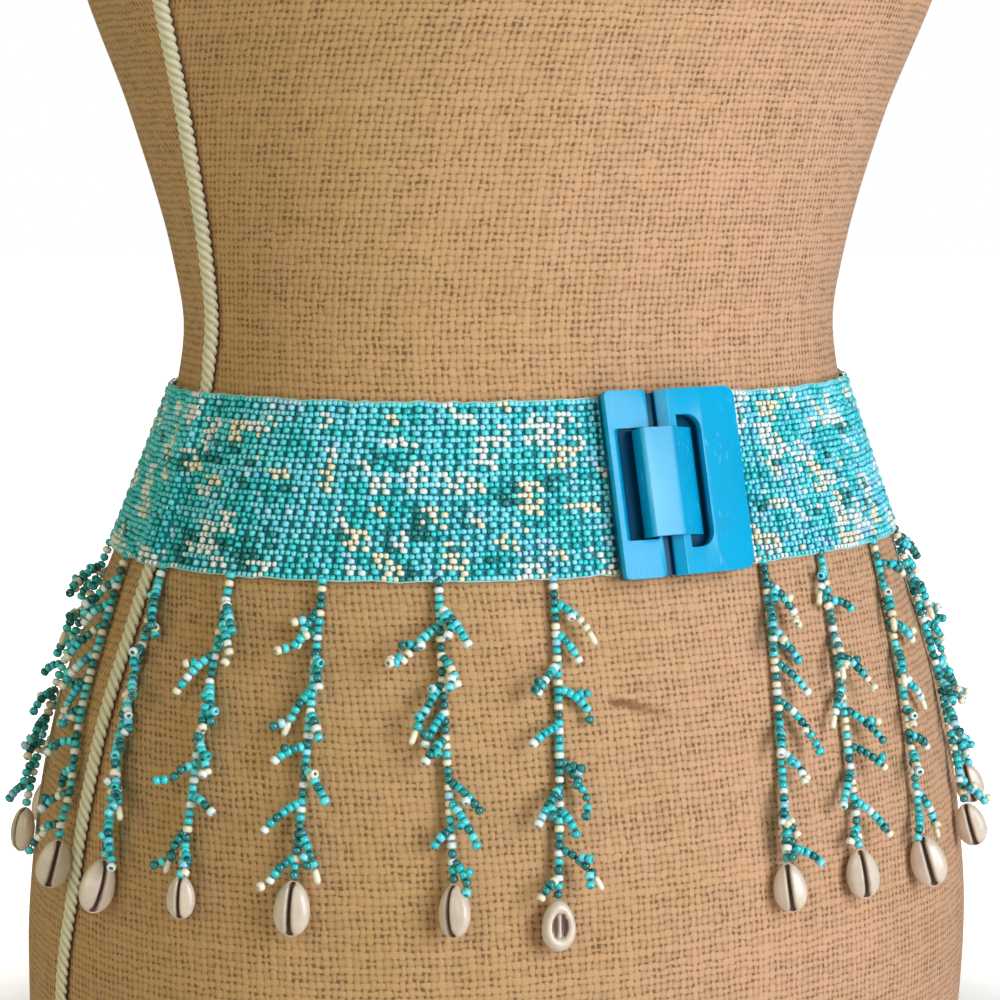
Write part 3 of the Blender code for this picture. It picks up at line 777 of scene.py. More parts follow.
# Node trees
class Graph:
    """A node tree with short ways to add nodes and join them."""

    def __init__(self, tree):
        self.tree = tree

    def node(self, kind, **settings):
        made = self.tree.nodes.new(kind)
        for name, value in settings.items():
            setattr(made, name, value)
        return made

    def put(self, socket, value):
        """Joins a socket to another one, or sets it to a number, colour or vector."""
        if isinstance(value, bpy.types.NodeSocket):
            self.tree.links.new(value, socket)
        elif value is not None:
            socket.default_value = value

    def math(self, operation, *values, clamp=False):
        made = self.node("ShaderNodeMath", operation=operation, use_clamp=clamp)
        for socket, value in zip(made.inputs, values):
            self.put(socket, value)
        return made.outputs[0]

    def vector(self, operation, *values):
        made = self.node("ShaderNodeVectorMath", operation=operation)
        for socket, value in zip(made.inputs, values):
            self.put(socket, value)
        return made.outputs[0]

    def scaled(self, place, factor):
        made = self.node("ShaderNodeVectorMath", operation="SCALE")
        self.put(made.inputs[0], place)
        self.put(made.inputs["Scale"], factor)
        return made.outputs[0]

    def split(self, place):
        made = self.node("ShaderNodeSeparateXYZ")
        self.put(made.inputs[0], place)
        return made.outputs[0], made.outputs[1], made.outputs[2]

    def joined(self, x, y, z=0.0):
        made = self.node("ShaderNodeCombineXYZ")
        for socket, value in zip(made.inputs, (x, y, z)):
            self.put(socket, value)
        return made.outputs[0]

    def mix(self, share, first, second, blend="MIX"):
        made = self.node("ShaderNodeMix", data_type="RGBA", blend_type=blend)
        self.put(made.inputs[0], share)
        self.put(made.inputs[6], first)
        self.put(made.inputs[7], second)
        return made.outputs[2]

    def noise(self, place, scale, detail=2.0, roughness=0.5):
        made = self.node("ShaderNodeTexNoise")
        self.put(made.inputs["Vector"], place)
        made.inputs["Scale"].default_value = scale
        made.inputs["Detail"].default_value = detail
        made.inputs["Roughness"].default_value = roughness
        return made.outputs["Fac"]

    def between(self, value, low, high, to_low=0.0, to_high=1.0):
        made = self.node("ShaderNodeMapRange", interpolation_type="SMOOTHSTEP")
        for socket, given in zip(made.inputs, (value, low, high, to_low, to_high)):
            self.put(socket, given)
        return made.outputs[0]

    def bump(self, height, strength, distance):
        made = self.node("ShaderNodeBump")
        made.inputs["Strength"].default_value = strength
        made.inputs["Distance"].default_value = distance
        self.put(made.inputs["Height"], height)
        return made.outputs["Normal"]

    def place(self):
        return self.node("ShaderNodeTexCoord").outputs["Object"]

    def cloth_place(self):
        return self.node("ShaderNodeUVMap", uv_map="cloth").outputs[0]

    def attribute(self, name):
        return self.node("ShaderNodeAttribute", attribute_name=name).outputs["Fac"]

    def group(self, tree, **values):
        made = self.node("ShaderNodeGroup")
        made.node_tree = tree
        for name, value in values.items():
            self.put(made.inputs[name.replace("_", " ")], value)
        return made.outputs


def opened_group(name, inputs, outputs):
    """A shader node group with named inputs and outputs, and its graph."""
    tree = bpy.data.node_groups.new(name, "ShaderNodeTree")
    for label, kind in inputs:
        tree.interface.new_socket(label, in_out="INPUT", socket_type=kind)
    for label, kind in outputs:
        tree.interface.new_socket(label, in_out="OUTPUT", socket_type=kind)
    graph = Graph(tree)
    return graph, graph.node("NodeGroupInput").outputs, graph.node("NodeGroupOutput").inputs


def opened_material(name, **constants):
    """A new material's graph and its main shader, whose constant sockets are set straight away."""
    material = bpy.data.materials.new(name)
    material.use_nodes = True
    shader = material.node_tree.nodes["Principled BSDF"]
    for label, value in constants.items():
        shader.inputs[label.replace("_", " ")].default_value = value
    return material, Graph(material.node_tree), shader.inputs


@functools.lru_cache(maxsize=None)
def mottle_group():
    """Uneven tone: broad cloudy change with fine grain over it, from 0 to 1."""
    graph, inputs, outputs = opened_group(
        "mottle",
        [("Place", "NodeSocketVector"), ("Size", "NodeSocketFloat"), ("Grain", "NodeSocketFloat")],
        [("Tone", "NodeSocketFloat")],
    )
    place = graph.scaled(inputs["Place"], graph.math("DIVIDE", 1.0, inputs["Size"]))
    broad = graph.noise(place, 1.0, 3.0, 0.55)
    fine = graph.noise(place, 11.0, 2.0, 0.6)
    share = graph.math("MULTIPLY", graph.math("SUBTRACT", fine, 0.5), inputs["Grain"])
    graph.put(outputs["Tone"], graph.math("ADD", broad, share, clamp=True))
    return graph.tree


@functools.lru_cache(maxsize=None)
def weave_group():
    """Plain weave of uneven threads over a cloth laid out in metres."""
    graph, inputs, outputs = opened_group(
        "plain weave",
        [("Place", "NodeSocketVector"), ("Pitch", "NodeSocketFloat"), ("Waver", "NodeSocketFloat")],
        [("Height", "NodeSocketFloat"), ("Gap", "NodeSocketFloat"), ("Tone", "NodeSocketFloat")],
    )
    place = graph.scaled(inputs["Place"], graph.math("DIVIDE", 1.0, inputs["Pitch"]))
    bend = graph.node("ShaderNodeTexNoise")
    bend.inputs["Scale"].default_value = 0.45
    bend.inputs["Detail"].default_value = 1.0
    graph.put(bend.inputs["Vector"], place)
    pushed = graph.vector("SUBTRACT", bend.outputs["Color"], (0.5, 0.5, 0.5))
    place = graph.vector("ADD", place, graph.scaled(pushed, inputs["Waver"]))
    u, v, _ = graph.split(place)
    column, row = graph.math("FLOOR", u), graph.math("FLOOR", v)
    in_u = graph.math("SUBTRACT", graph.math("SUBTRACT", u, column), 0.5)
    in_v = graph.math("SUBTRACT", graph.math("SUBTRACT", v, row), 0.5)
    parity = graph.math("FLOORED_MODULO", graph.math("ADD", column, row), 2.0)
    side = graph.math("MULTIPLY_ADD", parity, -2.0, 1.0)
    apart_u, apart_v = (graph.math("MULTIPLY", number, THREAD_APART) for number in (column, row))
    run_u, run_v = (graph.math("MULTIPLY", number, THREAD_RUN) for number in (u, v))
    round_u = thread_profile(graph, in_u, graph.noise(graph.joined(apart_u, run_v), 1.0, 1.0))
    round_v = thread_profile(graph, in_v, graph.noise(graph.joined(run_u, apart_v, 9.0), 1.0, 1.0))
    over_u = graph.math("MULTIPLY", side, graph.math("COSINE", graph.math("MULTIPLY", in_v, math.pi)))
    over_v = graph.math("MULTIPLY", side, graph.math("COSINE", graph.math("MULTIPLY", in_u, math.pi)))
    height_u = graph.math("MULTIPLY_ADD", over_u, THREAD_CRIMP, round_u)
    height_v = graph.math("MULTIPLY_ADD", over_v, -THREAD_CRIMP, round_v)
    graph.put(outputs["Height"], graph.math("MAXIMUM", height_u, height_v))
    open_share = graph.between(graph.math("MAXIMUM", round_u, round_v), 0.05, 0.62, 1.0, 0.0)
    graph.put(outputs["Gap"], open_share)
    upright = graph.math("GREATER_THAN", height_u, height_v)
    tone_u = thread_tone(graph, graph.joined(column, 3.0))
    tone_v = thread_tone(graph, graph.joined(7.0, row))
    change = graph.math("MULTIPLY", graph.math("SUBTRACT", tone_u, tone_v), upright)
    patch = graph.math("MULTIPLY", graph.noise(place, 0.55, 3.0, 0.7), 0.9)
    even = graph.math("MULTIPLY", graph.math("ADD", tone_v, change), 0.45)
    graph.put(outputs["Tone"], graph.math("ADD", even, graph.math("SUBTRACT", patch, 0.15), clamp=True))
    return graph.tree


def thread_profile(graph, across, thickness):
    """Rounded height across one thread, nothing past its edge."""
    wide = graph.math("MULTIPLY_ADD", thickness, 0.85, -0.03)
    share = graph.math("DIVIDE", across, wide)
    inside = graph.math("SUBTRACT", 1.0, graph.math("MULTIPLY", share, share))
    return graph.math("SQRT", graph.math("MAXIMUM", inside, 0.0))


def thread_tone(graph, place):
    made = graph.node("ShaderNodeTexWhiteNoise", noise_dimensions="2D")
    graph.put(made.inputs["Vector"], place)
    return made.outputs["Value"]


def full(colour, factor=1.0):
    return tuple(min(part * factor, 1.0) for part in colour) + (1.0,)


def burlap_streak(graph, place):
    """A short dark brown streak across the front, below the buckle, fading towards its right end."""
    x, y, z = graph.split(place)
    edge = STREAK_EDGE
    lean = math.radians(STREAK["lean"])
    from_x = graph.math("SUBTRACT", x, STREAK["x"])
    from_z = graph.math("SUBTRACT", z, STREAK["z"])
    cosine, sine = math.cos(lean), math.sin(lean)
    along = graph.math("MULTIPLY_ADD", from_x, cosine, graph.math("MULTIPLY", from_z, sine))
    across = graph.math("MULTIPLY_ADD", from_z, cosine, graph.math("MULTIPLY", from_x, -sine))
    uneven = graph.math(
        "MULTIPLY_ADD", graph.noise(place, edge["grain"], 2.0), edge["waver"], -edge["waver"] / 2
    )
    away = graph.math("ABSOLUTE", graph.math("ADD", across, uneven))
    narrow = graph.between(away, edge["core"], STREAK["half_width"], 1.0, 0.0)
    start = graph.between(along, -edge["start"], edge["start"])
    end = graph.between(along, edge["fade"], STREAK["length"], 1.0, 0.0)
    front = graph.math("LESS_THAN", y, 0.0)
    return graph.math("MULTIPLY", graph.math("MULTIPLY", narrow, front), graph.math("MULTIPLY", start, end))


@functools.lru_cache(maxsize=None)
def burlap_material():
    """Plain-woven jute, with painted light on its raised threads and painted shade in its gaps."""
    material, graph, shader = opened_material(
        "burlap", Roughness=0.92, Specular_IOR_Level=0.12, Sheen_Weight=0.12
    )
    weave = graph.group(weave_group(), Place=graph.cloth_place(), Pitch=sizes().weave_pitch, Waver=0.75)
    place = graph.place()
    cloudy = graph.group(mottle_group(), Place=place, Size=0.030, Grain=0.9)["Tone"]
    tone = graph.math("MULTIPLY", weave["Tone"], 0.60)
    # Painted light and shade: raised threads lighter, the low parts of the threads darker
    lit = graph.math("MULTIPLY_ADD", weave["Height"], 0.62, graph.math("SUBTRACT", tone, 0.14), clamp=True)
    across, _, _ = graph.split(place)
    # More olive and darker towards the wearer's right: partly the cloth's own tint, partly painted shade on
    # the side turned from the main light
    olive_and_shade_side = graph.between(across, OLIVE_AND_SHADE_SIDE["full_at"], OLIVE_AND_SHADE_SIDE["gone_at"], OLIVE_AND_SHADE_SIDE["share"], 0.0)
    clouds = graph.math("MULTIPLY_ADD", cloudy, OLIVE_CLOUDS["gain"], OLIVE_CLOUDS["start"])
    tint = graph.mix(graph.math("ADD", olive_and_shade_side, clouds, clamp=True), full(BURLAP_PINK), full(BURLAP_OLIVE))
    low = graph.mix(lit, full(colours().burlap, 0.40), tint)
    fibre = graph.noise(graph.cloth_place(), 2600.0, 1.0, 0.7)
    fibres = graph.mix(graph.math("MULTIPLY", fibre, 0.30), low, full(colours().burlap_gap, 2.2))
    streaked = graph.math("MULTIPLY", burlap_streak(graph, place), STREAK["share"])
    threads = graph.mix(streaked, fibres, full(STREAK_COLOUR))
    # Painted shade in the gaps between the threads
    deep = graph.math("MULTIPLY", weave["Gap"], 0.80)
    graph.put(shader["Base Color"], graph.mix(deep, threads, full(colours().burlap_gap)))
    rough = graph.math("MULTIPLY_ADD", fibre, 0.3, weave["Height"])
    graph.put(shader["Normal"], graph.bump(rough, 0.55, 0.00035))
    return material


@functools.lru_cache(maxsize=None)
def cord_material():
    """Cream cotton cord with fine yarns, and painted shade in the hollows between its plies."""
    material, graph, shader = opened_material(
        "piping cord", Roughness=0.85, Specular_IOR_Level=0.15, Sheen_Weight=0.15
    )
    u, v, _ = graph.split(graph.cloth_place())
    yarn = graph.math("SINE", graph.math("MULTIPLY_ADD", v, 6200.0, graph.math("MULTIPLY", u, 9000.0)))
    tone = graph.group(mottle_group(), Place=graph.place(), Size=0.006, Grain=0.5)["Tone"]
    hollow = graph.attribute("hollow")
    cord = colours().cord
    cotton = graph.mix(graph.math("MULTIPLY", tone, 0.5), full(cord, 1.10), full(cord, 0.76))
    # Painted shade: darker where the cord's surface dips into the hollows between the plies
    shaded = graph.mix(graph.math("MULTIPLY", hollow, 0.60), cotton, full(cord, 0.30))
    yarns = graph.between(yarn, 0.2, 1.0, 0.0, 0.16)
    graph.put(shader["Base Color"], graph.mix(yarns, shaded, full(cord, 0.4)))
    graph.put(shader["Normal"], graph.bump(graph.math("ADD", yarn, tone), 0.35, 0.0002))
    return material


@functools.lru_cache(maxsize=None)
def bead_materials():
    """One glass or pearl finish for each kind of bead; every bead carries its own tone."""
    made = []
    for number, finish in enumerate(FINISHES):
        glass = number not in PALE
        material, graph, shader = opened_material(
            finish.name,
            Specular_IOR_Level=0.6 if glass else 0.5,
            IOR=1.52,
            Coat_Roughness=0.06,
            Subsurface_Weight=0.0,
        )
        tone = graph.attribute("tone")
        cloud = graph.group(mottle_group(), Place=graph.place(), Size=0.0016, Grain=0.3)["Tone"]
        own = graph.math("MULTIPLY_ADD", tone, 0.9, -0.2)
        share = graph.math("MULTIPLY_ADD", cloud, 0.5, own, clamp=True)
        graph.put(shader["Base Color"], graph.mix(share, full(finish.light), full(finish.deep)))
        low, high = (0.10, 0.24) if glass else (0.22, 0.40)
        graph.put(shader["Roughness"], graph.between(cloud, 0.2, 0.8, low, high))
        graph.put(shader["Coat Weight"], graph.between(tone, 0.0, 1.0, 0.6 if glass else 0.3, 0.2))
        made.append(material)
    return made


@functools.lru_cache(maxsize=None)
def thread_material(name, pale):
    """Waxed thread of the net and the strands, or the pale one along the net's edges; the net's colour also
    goes on the sheet behind the beads, as painted shade.
    """
    colour = colours().edge_thread if pale else colours().thread
    material, graph, shader = opened_material(name, Roughness=0.6, Specular_IOR_Level=0.3)
    tone = graph.group(mottle_group(), Place=graph.place(), Size=0.0011, Grain=0.4)["Tone"]
    graph.put(shader["Base Color"], graph.mix(tone, full(colour, 1.25), full(colour, 0.55)))
    graph.put(shader["Normal"], graph.bump(tone, 0.4, 0.00015))
    return material


@functools.lru_cache(maxsize=None)
def shell_material():
    """Cream to tan shell with fine teeth along its mouth, grey brown in its slit and its cut back: partly the
    shell's inside colour, partly painted shade of the hollow within.
    """
    material, graph, shader = opened_material(
        "cowrie shell", Specular_IOR_Level=0.5, Coat_Roughness=0.15, IOR=1.5
    )
    tone = graph.group(mottle_group(), Place=graph.place(), Size=0.0055, Grain=0.25)["Tone"]
    _, along, _ = graph.split(graph.cloth_place())
    teeth = graph.math("SINE", graph.math("MULTIPLY", along, math.tau * TEETH_COUNT))
    teeth = graph.math("MULTIPLY", graph.between(teeth, 0.1, 0.9), graph.attribute("teeth"))
    outside = graph.mix(tone, full(colours().shell, 1.12), full(colours().shell, 0.66))
    toothed = graph.mix(graph.math("MULTIPLY", teeth, 0.55), outside, (0.30, 0.20, 0.13, 1.0))
    # Partly the shell's own inside colour, partly painted shade: the slit and the cut back take the mouth
    # colour
    deep = graph.between(graph.attribute("cavity"), 0.10, 0.55)
    graph.put(shader["Base Color"], graph.mix(deep, toothed, full(colours().shell_mouth)))
    graph.put(shader["Roughness"], graph.between(tone, 0.2, 0.9, 0.24, 0.48))
    graph.put(shader["Coat Weight"], graph.between(graph.attribute("cavity"), 0.0, 1.0, 0.45, 0.0))
    height = graph.math("SUBTRACT", graph.math("MULTIPLY", tone, 0.4), teeth)
    graph.put(shader["Normal"], graph.bump(height, 0.5, 0.00025))
    return material


@functools.lru_cache(maxsize=None)
def plastic_material():
    """Moulded plastic: faint cloudiness and hairline scratches, a painted highlight on the tongue's raised
    top, and painted shade where the plates lie low: in the pocket, groove and slot and at the foot of their
    sides.
    """
    material, graph, shader = opened_material(
        "blue plastic", Specular_IOR_Level=0.25, Coat_Roughness=0.12, IOR=1.49
    )
    place = graph.place()
    tone = graph.group(mottle_group(), Place=place, Size=0.014, Grain=0.25)["Tone"]
    stretched = graph.vector("MULTIPLY", place, (900.0, 900.0, 60.0))
    hair = graph.between(graph.noise(stretched, 1.0, 2.0, 0.7), 0.60, 0.72)
    patchy = graph.math("MULTIPLY", hair, graph.between(graph.noise(place, 90.0), 0.45, 0.65))
    body = graph.mix(tone, full(colours().plastic, 1.10), full(colours().plastic, 0.80))
    # Painted shade: towards the recess colour where the plastic lies low in its plate
    painted_recess_shade = graph.between(graph.attribute("rise"), 0.0011, 0.0036, 0.93, 0.0)
    # Painted highlight: the tongue's raised top is mixed towards pale blue; the hairline scratches lighten the
    # plastic too, as wear
    high = graph.between(graph.attribute("rise"), 0.0080, 0.0088, 0.0, 0.38)
    wear_and_highlight = graph.math("ADD", graph.math("MULTIPLY", patchy, 0.35), high)
    worn = graph.mix(wear_and_highlight, body, (0.26, 0.62, 0.90, 1.0))
    graph.put(shader["Base Color"], graph.mix(painted_recess_shade, worn, full(colours().plastic_shade)))
    smooth = graph.between(tone, 0.2, 0.9, 0.18, 0.30)
    graph.put(shader["Roughness"], graph.math("MULTIPLY_ADD", patchy, 0.2, smooth))
    graph.put(shader["Coat Weight"], graph.between(painted_recess_shade, 0.0, 0.6, 0.05, 0.0))
    graph.put(shader["Normal"], graph.bump(graph.math("SUBTRACT", tone, patchy), 0.12, 0.0004))
    return material


# Dress form
def panel_angles(height):
    """Angles of one ring of the cover: the front panel from seam to seam, then the back one."""
    right, left = seam_angles(height)
    ends = [(right, left + 360.0), (left + 360.0, right + 360.0)]
    count = COVER_PANEL_COLUMNS
    return [low + (high - low) * n / count for low, high in ends for n in range(count)]


def form_cover():
    """Fine skin of the form in two panels, their cloth laid out in metres from the panels' middles."""
    count = COVER_PANEL_COLUMNS
    top = FORM_LEVELS[-1].height
    even = {round(n * COVER_RING_STEP, 5) for n in range(int(top / COVER_RING_STEP) + 1)}
    heights = sorted(even | set(COVER_EXTRA_RINGS) | {top})
    points = []
    placed = []
    climb = 0.0
    before = None
    for height in heights:
        ring = [form_point(angle, height) for angle in panel_angles(height)]
        steps = [(ring[(n + 1) % len(ring)] - ring[n]).length for n in range(len(ring))]
        runs = [0.0]
        for step in steps:
            runs.append(runs[-1] + step)
        climb += (ring[count // 2] - before).length if before else 0.0
        before = ring[count // 2]
        points += ring
        placed.append((runs, climb))
    columns = 2 * count
    faces = grid_faces(len(heights), columns, True)
    corners = []
    for row in range(len(heights) - 1):
        for column in range(columns):
            middle = count // 2 if column < count else count + count // 2
            ends = (row, column), (row, column + 1), (row + 1, column + 1), (row + 1, column)
            for at_row, at_column in ends:
                runs, up = placed[at_row]
                corners.append((runs[at_column] - runs[middle], up))
    for row, height, inwards in ((0, 0.0, -1), (len(heights) - 1, top, 1)):
        ring = points[row * columns:(row + 1) * columns]
        rim = list(range(row * columns, (row + 1) * columns))
        for share in COVER_CAP_SHARES:
            inner = [len(points) + n for n in range(columns)]
            points += [Vector((p.x * share, p.y * share, height)) for p in ring]
            for n in range(columns):
                after = (n + 1) % columns
                face = (rim[n], rim[after], inner[after], inner[n])
                faces.append(face if inwards > 0 else face[::-1])
                corners += [(points[index].x, points[index].y) for index in faces[-1]]
            rim = inner
        points.append(Vector((0.0, 0.0, height)))
        for n in range(columns):
            face = (rim[n], rim[(n + 1) % columns], len(points) - 1)
            faces.append(face if inwards > 0 else face[::-1])
            corners += [(points[index].x, points[index].y) for index in faces[-1]]
    item = mesh_piece("form_cover", points, faces, [burlap_material()])
    set_uv(item, corners)
    item.data.set_sharp_from_angle(angle=math.radians(COVER_SHARP_ANGLE))
    return item


# Piping
def ply_reach(turn, plies_turn):
    """Reach of a twisted cord of round plies in one direction of its section, from 0 to 1."""
    best = 0.0
    for ply in range(CORD_PLIES):
        away = turn - plies_turn - math.tau * ply / CORD_PLIES
        inside = PLY_RADIUS**2 - (PLY_OFFSET * math.sin(away)) ** 2
        if inside > 0:
            best = max(best, PLY_OFFSET * math.cos(away) + math.sqrt(inside))
    return best / (PLY_OFFSET + PLY_RADIUS)


def piping_cord(name, side):
    """Twisted cord laid along a side seam, a little flattened onto it."""
    rings = int((PIPING_TOP - PIPING_BOTTOM) / PIPING_STEP)
    points = []
    hollows = []
    places = []
    run = 0.0
    before = None
    for n in range(rings + 1):
        height = PIPING_BOTTOM + (PIPING_TOP - PIPING_BOTTOM) * n / rings
        point, sideways, _, out = surface_frame(seam_angles(height)[side], height, PIPING_GAP)
        run += (point - before).length if before else 0.0
        before = point
        free = smooth_step(height, BAND_TOP + PIPING_FREE_ABOVE, BAND_TOP + PIPING_FREE_WITHIN)
        tall = PIPING_HEIGHT + (PIPING_HEIGHT_FREE - PIPING_HEIGHT) * free
        middle = point + out * (tall / 2)
        end = 1.0 if 2 < n < rings - 2 else PIPING_END_SHARES[min(n, rings - n)]
        for step in range(PIPING_SIDES):
            turn = math.tau * step / PIPING_SIDES
            reach = ply_reach(turn, math.tau * run / sizes().cord_lay)
            across = math.cos(turn) * reach * PIPING_WIDTH / 2 * end
            rise = math.sin(turn) * reach * tall / 2 * end
            points.append(middle + sideways * across + out * rise)
            # The hollow share drives the painted shade between the plies
            hollows.append(min(max((HOLLOW_FROM - reach) / HOLLOW_SPAN, 0.0), 1.0))
            places.append((run, step / PIPING_SIDES * CORD_CLOTH_WIDTH))
    faces = tube_faces(0, rings + 1, PIPING_SIDES)
    item = mesh_piece(name, points, faces, [cord_material()])
    set_uv(item, places)
    set_attribute(item, "hollow", hollows)
    outward_normals(item)
    return item


# Beads
@functools.lru_cache(maxsize=None)
def modelled_bead():
    """One bead, spun from its section: its points and faces, one unit in half width and half length."""
    start_piece()
    bpy.ops.mesh.primitive_circle_add(vertices=len(BEAD_SECTION), radius=1.0)
    item = bpy.context.object
    for vertex, (across, along) in zip(item.data.vertices, BEAD_SECTION):
        vertex.co = (across, 0.0, along)
    edit_mode(item)
    bpy.ops.mesh.select_all(action="SELECT")
    bpy.ops.mesh.spin(steps=sizes().bead_sides, angle=math.tau, center=(0, 0, 0), axis=(0, 0, 1))
    object_mode()
    outward_normals(item)
    points = np.array([vertex.co[:] for vertex in item.data.vertices])
    faces = np.array([face.vertices[:] for face in item.data.polygons])
    bpy.data.objects.remove(item, do_unlink=True)
    return points, faces


def bead_size(chance, against_net=1.0):
    """Length and width of one bead, each a little off the usual."""
    spread = sizes().bead_spread
    return (
        sizes().bead_length * against_net * (1.0 + chance.uniform(-spread, spread)),
        sizes().bead_width * against_net * (1.0 + chance.uniform(-spread, spread)),
    )


def bead_piece(name, beads, lines=()):
    """Joins a copy of the modelled bead for every bead, and the threads that they hang on."""
    unit, unit_faces = modelled_bead()
    centre = np.array([bead.centre[:] for bead in beads])
    axis = np.array([bead.axis[:] for bead in beads])
    out = np.array([bead.out[:] for bead in beads])
    out = out - axis * (out * axis).sum(axis=1, keepdims=True)
    out = out / np.linalg.norm(out, axis=1, keepdims=True)
    side = np.cross(out, axis)
    half_width = np.array([bead.width / 2 for bead in beads])[:, None, None]
    half_length = np.array([bead.length / 2 for bead in beads])[:, None, None]
    across = unit[None, :, 0:1] * side[:, None, :] + unit[None, :, 1:2] * out[:, None, :]
    along = unit[None, :, 2:3] * axis[:, None, :]
    points = (centre[:, None, :] + across * half_width + along * half_length).reshape(-1, 3)
    shift = (np.arange(len(beads)) * len(unit))[:, None, None]
    faces = (unit_faces[None, :, :] + shift).reshape(-1, unit_faces.shape[1]).tolist()
    finishes = np.repeat([bead.finish for bead in beads], len(unit_faces))
    tones = np.repeat([bead.tone for bead in beads], len(unit))
    extra = []
    for line, outs in lines:
        start = len(points) + len(extra)
        extra += [point[:] for point in tube_points(line, outs, sizes().thread / 2, THREAD_SIDES)]
        faces += tube_faces(start, len(line), THREAD_SIDES)
    if extra:
        points = np.concatenate([points, np.array(extra)])
    materials = bead_materials() + [thread_material("net thread", False)]
    item = mesh_piece(name, points.tolist(), faces, materials)
    slots = np.full(len(faces), len(FINISHES), dtype=np.int32)
    slots[:len(finishes)] = finishes
    item.data.polygons.foreach_set("material_index", slots)
    set_attribute(item, "tone", np.concatenate([tones, np.full(len(points) - len(tones), 0.5)]))
    return item


def drawn_finish(chance, shares, pale_gain=1.0, blue_gain=1.0):
    """A finish drawn by its share; pale and blue ones can be made more frequent."""
    gains = {**{number: pale_gain for number in PALE}, **{number: blue_gain for number in BLUE}}
    weights = [share * gains.get(number, 1.0) for number, share in enumerate(shares)]
    return chance.choices(range(len(weights)), weights)[0]


# Beaded band
@functools.lru_cache(maxsize=None)
def net_lines():
    """Angles of the net's upright lines, those tucked under both plates included."""
    angles = cell_angles()
    pitch = abs(arc_between(angles[0], angles[1], band_middle()))
    before = [angle_moved(angles[0], band_middle(), pitch * n) for n in range(CELLS_TUCKED[0], 0, -1)]
    after = [angle_moved(angles[-1], band_middle(), -pitch * n) for n in range(1, CELLS_TUCKED[1] + 1)]
    return before + angles + after


def net_nodes():
    """Crossings of the net, line by line from top to bottom, each with its outward direction."""
    chance = random.Random(NET_SEED)
    inset = sizes().bead_width / 2
    nodes = []
    for angle in net_lines():
        line = []
        for row in range(CELLS_HIGH + 1):
            height = BAND_TOP - inset - (BAND_TOP - BAND_BOTTOM - 2 * inset) * row / CELLS_HIGH
            lift = cover(angle, height) + BAND_GAP + BEAD / 2
            point, sideways, down, out = surface_frame(angle, height, lift)
            point += sideways * chance.gauss(0, NODE_SHIFT) + down * chance.gauss(0, NODE_SHIFT)
            line.append((point + out * chance.uniform(-NODE_RISE, NODE_RISE), out))
        nodes.append(line)
    return nodes


def cell_finishes(nodes):
    """Finish that each cell leans to: pale patches strewn over it, more of them near the buckle's right edge,
    partly as painted glare, and bluer beads beside the buckle.
    """
    chance = random.Random(NET_SEED + 1)
    found = {}
    patches = []
    for column in range(len(nodes)):
        from_end = min(column, len(nodes) - column)
        # More pale patches near the buckle's right edge: partly the belt's own colours, partly painted glare
        pale_gain = PALE_AND_GLARE_END_GAIN if len(nodes) - column < PALE_END_CELLS else 1.0
        blue_gain = BLUER_GAIN if from_end < BLUER_CELLS else BLUE_GAIN_BEYOND
        for row in range(CELLS_HIGH + 1):
            near = [found[key] for key in ((column - 1, row), (column, row - 1)) if key in found]
            if near and chance.random() < CELL_CLUSTERING:
                found[column, row] = chance.choice(near)
            else:
                found[column, row] = drawn_finish(chance, BAND_SHARES, 1.0, blue_gain)
            if chance.random() < PATCH_CHANCE * pale_gain:
                patches.append((column, row, chance.choice(PATCH_SHAPES), chance.random() < PATCH_WHITE))
    for column, row, (wide, high), white in patches:
        for key in itertools.product(range(column, column + wide), range(row, row + high)):
            if key in found:
                found[key] = PALE[0] if white else PALE[1]
    return found


def band_beads(nodes):
    """Two beads across each cell and a larger upright one at each crossing."""
    chance = random.Random(NET_SEED + 2)
    leaning = cell_finishes(nodes)
    beads = []
    for column in range(len(nodes)):
        for row in range(CELLS_HIGH + 1):
            for across, first, second, out in links(nodes, column, row):
                finish = leaning[column, row]
                if chance.random() > BEAD_CLUSTERING:
                    finish = drawn_finish(chance, BAND_SHARES, STRAY_PALE_GAIN)
                length, width = bead_size(chance)
                width *= CROSS_BEAD if across else UPRIGHT_WIDTH
                length *= 1.0 if across else UPRIGHT_LENGTH
                # Beads lying across take a lower tone, nearer their finish's light colour: painted highlight
                # along the net's rows
                tone = chance.random() * (ACROSS_HIGHLIGHT_TONE if across else 1.0)
                tilt = Vector([chance.gauss(0, BEAD_TILT) for _ in range(3)])
                axis = ((second - first).normalized() + tilt).normalized()
                beads.append(Bead((first + second) / 2, axis, out, length, width, finish, tone))
    return beads


def links(nodes, column, row):
    """The beads that start at one crossing: if each lies across, its two ends and its outward direction."""
    here, out = nodes[column][row]
    found = []
    if column + 1 < len(nodes):
        there = nodes[column + 1][row][0]
        middle = (here + there) / 2
        found.append((True, here, middle, out))
        found.append((True, middle, there, out))
    if row < CELLS_HIGH:
        found.append((False, here, nodes[column][row + 1][0], out))
    return found


def net_web(nodes):
    """The net's thread as one dark sheet with a small open square in every cell; it fills most of each gap
    between the beads as painted shade.
    """
    points = []
    for line in nodes:
        points += [point - out * (BEAD * WEB_DEPTH) for point, out in line]
    rows = CELLS_HIGH + 1
    faces = []
    for column in range(len(nodes) - 1):
        for row in range(CELLS_HIGH):
            left, right = column * rows + row, (column + 1) * rows + row
            ring = [left, left + 1, right + 1, right]
            middle = sum((points[index] for index in ring), Vector()) / 4
            start = len(points)
            # Small open squares: the rest of each gap is dark sheet, painted shade
            points += [middle + (points[index] - middle) * WEB_HOLE for index in ring]
            for n in range(4):
                after = (n + 1) % 4
                faces.append((ring[n], ring[after], start + after, start + n))
    return mesh_piece("net_web", points, faces, [thread_material("net web", False)])


